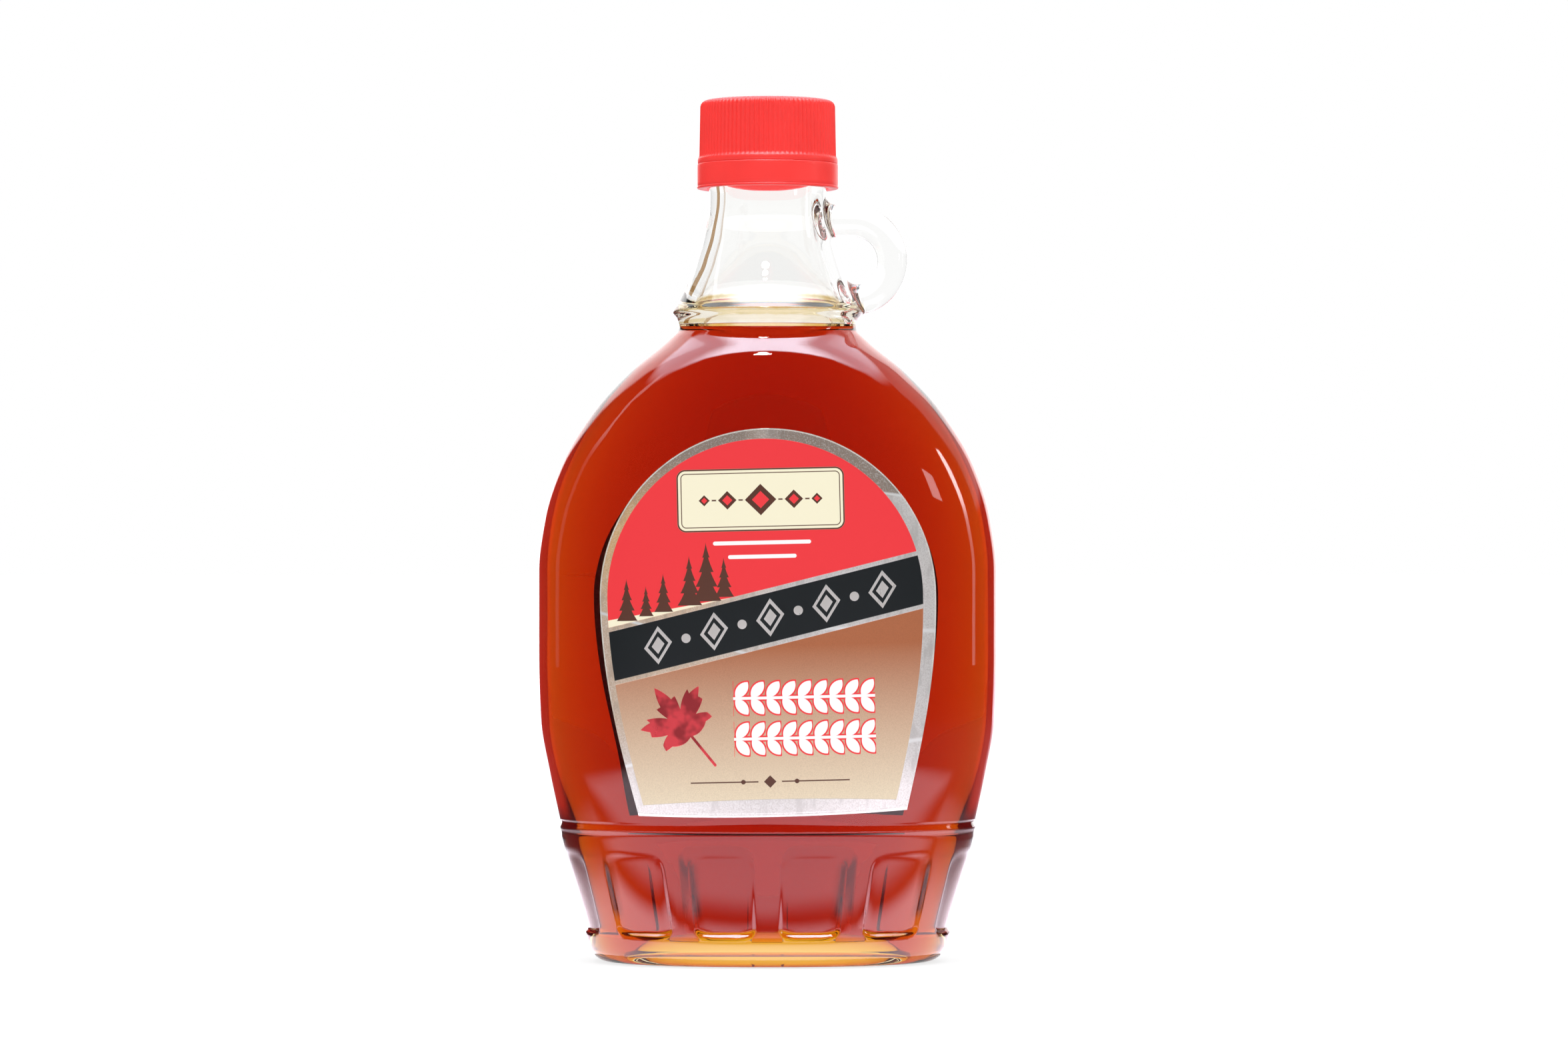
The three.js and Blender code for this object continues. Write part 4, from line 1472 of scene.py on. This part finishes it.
def sheet_round_foot(name):
    """A flat sheet just over the table, from close round the flask's foot out to the room's wall."""
    columns, lift, far = 64, 0.3, ROOM_RADIUS / MM - 1
    angle = np.linspace(0, 2 * np.pi, columns, endpoint=False)
    near_x, near_y = section(39.5, 21.0, SQUARENESS[0][1], angle)
    inner = np.stack([near_x, near_y, np.full(columns, lift)], -1)
    outer = np.stack([far * np.sin(angle), -far * np.cos(angle), np.full(columns, lift)], -1)
    here = np.arange(columns)
    there = (here + 1) % columns
    quads = np.stack([here, columns + here, columns + there, there], -1)
    return make_mesh(name, np.concatenate([inner, outer]), [quads])


class SYRUP_FLASK_OT_studio(Operator):
    """Set up the plain table, the soft white surround, the lights and the camera"""

    bl_idname = "syrup_flask.studio"
    bl_label = "Studio"

    def execute(self, context):
        studio = context.scene.syrup_flask.studio
        scene = context.scene
        world = bpy.data.worlds.new("White surround")
        scene.world = world
        world.use_nodes = True
        surround = world.node_tree.nodes["Background"].inputs
        surround["Color"].default_value = WHITE
        surround["Strength"].default_value = studio.surround
        scene.view_settings.view_transform = "Standard"
        for limit, times in BOUNCES.items():
            setattr(scene.cycles, limit, times)
        self.table()
        self.ceiling_light(studio)
        self.dark_room()
        self.small_lamps()
        self.lit_sheet()
        self.brown_board()
        self.camera(scene, studio)
        return {"FINISHED"}

    def table(self):
        """A wide white top just under the foot, which lights itself so that it stays white."""
        half, drop = 8.0, -0.0002
        corners = [(-half, -half, drop), (half, -half, drop), (half, half, drop), (-half, half, drop)]
        white = Paint("White table").finish({
            "Base Color": (0.34, 0.34, 0.34, 1),
            "Roughness": 0.8,
            "Specular IOR Level": 0.0,
            "Emission Color": WHITE,
            "Emission Strength": 0.74,
        })
        flat_piece("table_top", corners, white)

    def ceiling_light(self, studio):
        """A wide soft light above and a little in front, that no mirror shows."""
        soft = bpy.data.lights.new("ceiling_light", "AREA")
        soft.shape = "RECTANGLE"
        soft.size, soft.size_y, soft.energy = 1.6, 1.2, studio.ceiling
        light = bpy.data.objects.new("ceiling_light", soft)
        light.location = (0.0, -0.35, 1.5)
        aim = Vector((0, 0, ROOM_MIDDLE * MM)) - light.location
        light.rotation_euler = aim.to_track_quat("-Z", "Y").to_euler()
        light.visible_glossy = False
        bpy.context.scene.collection.objects.link(light)

    def dark_room(self):
        """What the glass and the plastic mirror: a dark ball with a big soft light overhead, a bright
        strip low on the right, a faint one on the left, and the white surround behind.

        `turn` is the azimuth in degrees from the front towards +X, and `rise` the elevation.
        """
        paint = Paint("Dark room and soft lights")
        side, back, up = paint.place("X"), paint.place("Y"), paint.place("Z") - ROOM_MIDDLE
        turn = side.math("ARCTAN2", side, -back) * DEGREES
        rise = up.math("ARCTAN2", up, (side * side + back * back) ** 0.5) * DEGREES
        away = abs(turn)
        # The ceiling light's edge is highest ahead and drops towards the sides, where it is dimmer
        edge = 53.3 + 0.7 * (away / 45).least(1.0) ** 2 - 10 * (away / 85).least(1.0) ** 2
        ceiling = rise.above(edge, 2.2) * (18 - 14 * away.above(62.0, 24.0))
        strip_light = 1.8 + 11 * rise.above(13.0, 7.0)
        strip = inked(abs(turn - 83.5) - 2.5, 0.6) * rise.below(28.0, 0.5) * strip_light
        faint_light = (0.4 + 1.6 * rise.above(30.0, 6.0)) * rise.below(45.0, 1.0)
        faint_strip = inked(abs(turn + 91) - 3, 0.4) * faint_light
        left_edge = BEHIND_LEFT + 0.9 * rise.most(0.0)
        behind = turn.above(BEHIND_RIGHT, 3.0) + turn.below(left_edge, 3.0)
        half_lit = inked(abs(turn - 124) - 18, 3.0) * rise.above(12.0, 2.0)
        room = ROOM_DARK + strip + faint_strip + BEHIND_LIGHT * behind + 0.7 * half_lit
        tint = paint.mix(ceiling.above(2.0, 1.0), WHITE, SOFT_LIGHT)
        self.only_mirrored(round_room("dark_room"), paint, tint, room + ceiling)

    def small_lamps(self):
        """Three oval lamps under the ceiling light's edge, which the shoulder mirrors as (elevation,
        half width, half height), and a small card near the flask on its right."""
        for rise, half_turn, half_rise in ((44.0, 6.8, 1.4), (46.6, 5.0, 0.8), (48.8, 3.4, 0.6)):
            corners = oval_corners(-4, rise, half_turn, half_rise, 1.5)
            stage_card(f"lamp_{rise:.0f}", corners, 80.0)
        (x0, y0), (x1, y1), low, high = (0.262, -0.2), (0.282, -0.17), 0.166, 0.2
        stage_card("near_card", [(x0, y0, low), (x1, y1, low), (x1, y1, high), (x0, y0, high)], 4.5)

    def lit_sheet(self):
        """The lit sheet on the table, which the skirt and the body's lower half mirror. It has a
        bright tongue in front, a wide soft light nearer the foot, and the room's tones far out."""
        paint = Paint("Lit sheet")
        x, ahead = paint.place("X"), -paint.place("Y")
        far = ((x * x + ahead * ahead) ** 0.5).above(600.0, 450.0)
        turn = x.math("ARCTAN2", x, ahead) * DEGREES
        behind = turn.above(BEHIND_RIGHT, 3.0) + turn.below(BEHIND_LEFT, 3.0)
        beyond = ROOM_DARK + BEHIND_LIGHT * behind
        off_middle = abs(x - 5)
        tongue = inked(off_middle - 150, 30.0) * ahead.above(60.0, 14.0) * ahead.below(300.0, 30.0)
        wide = inked(off_middle - 112, 22.0) * ahead.below(40.0, 8.0) * ahead.above(-190.0, 180.0)
        beside_foot = abs(x).below(85.0, 25.0)
        near = 0.08 + 0.12 * x.above(0.0, 60.0) + tongue * 2.0 + wide * (1.4 + 2.4 * beside_foot)
        strength = near * (1 - far) + beyond * far
        self.only_mirrored(sheet_round_foot("lit_sheet"), paint, (1.0, 0.92, 1.03), strength)

    def brown_board(self):
        """A small board behind the left of the neck that is seen only through the glass."""
        low, high = 0.142, 0.176
        left, right = toward(np.array([-134, -120.5]), 0, 0.042, 0)[:, :2].tolist()
        corners = [(*left, low), (*right, low), (*right, high), (*left, high)]
        board = stage_card("brown_board", corners, 1.0, (0.45, 0.27, 0.12, 1))
        board.visible_glossy = False
        board.visible_transmission = True

    def only_mirrored(self, piece, paint, tint, strength):
        """Gives a piece of the stage light that only mirrored rays meet."""
        lit = paint.node("ShaderNodeVectorMath", {"operation": "SCALE"}, {0: tint, "Scale": strength})
        material = paint.shine(lit, 1.0)
        material.cycles.emission_sampling = "NONE"
        piece.data.materials.append(material)
        show_to_mirrors(piece)

    def camera(self, scene, studio):
        """A level view of the flask's front, as wide as the photograph's."""
        data = bpy.data.cameras.new("camera")
        data.sensor_width = 36.0
        data.lens = data.sensor_width * studio.distance / studio.field_width
        data.clip_start, data.clip_end = 0.05, 40.0
        eye = bpy.data.objects.new("camera", data)
        eye.location = (studio.camera_side, -studio.distance, studio.camera_height)
        eye.rotation_euler = (np.pi / 2, 0, 0)
        scene.collection.objects.link(eye)
        scene.camera = eye


class SYRUP_FLASK_PT_sidebar(Panel):
    """The flask's pieces and their settings"""

    bl_idname = "SYRUP_FLASK_PT_sidebar"
    bl_label = "Syrup flask"
    bl_space_type = "VIEW_3D"
    bl_region_type = "UI"
    bl_category = "Syrup flask"

    def draw(self, context):
        settings = context.scene.syrup_flask
        for group, operator in PIECES:
            box = self.layout.box()
            box.operator(operator)
            values = getattr(settings, group)
            for key in values.__annotations__:
                box.prop(values, key)


PIECES = [
    ("glass", "syrup_flask.glass"),
    ("syrup", "syrup_flask.syrup"),
    ("cap", "syrup_flask.closure"),
    ("label", "syrup_flask.labels"),
    ("studio", "syrup_flask.studio"),
]
CLASSES = (
    GlassSettings, SyrupSettings, CapSettings, LabelSettings, StudioSettings, FlaskSettings,
    SYRUP_FLASK_OT_glass, SYRUP_FLASK_OT_syrup, SYRUP_FLASK_OT_closure, SYRUP_FLASK_OT_labels,
    SYRUP_FLASK_OT_studio, SYRUP_FLASK_PT_sidebar,
)


def register():
    for kind in CLASSES:
        bpy.utils.register_class(kind)
    bpy.types.Scene.syrup_flask = PointerProperty(type=FlaskSettings)


def unregister():
    del bpy.types.Scene.syrup_flask
    for kind in reversed(CLASSES):
        bpy.utils.unregister_class(kind)


def main():
    register()
    bpy.ops.syrup_flask.glass()
    bpy.ops.syrup_flask.syrup()
    bpy.ops.syrup_flask.closure()
    bpy.ops.syrup_flask.labels()
    bpy.ops.syrup_flask.studio()


if __name__ == "__main__":
    main()
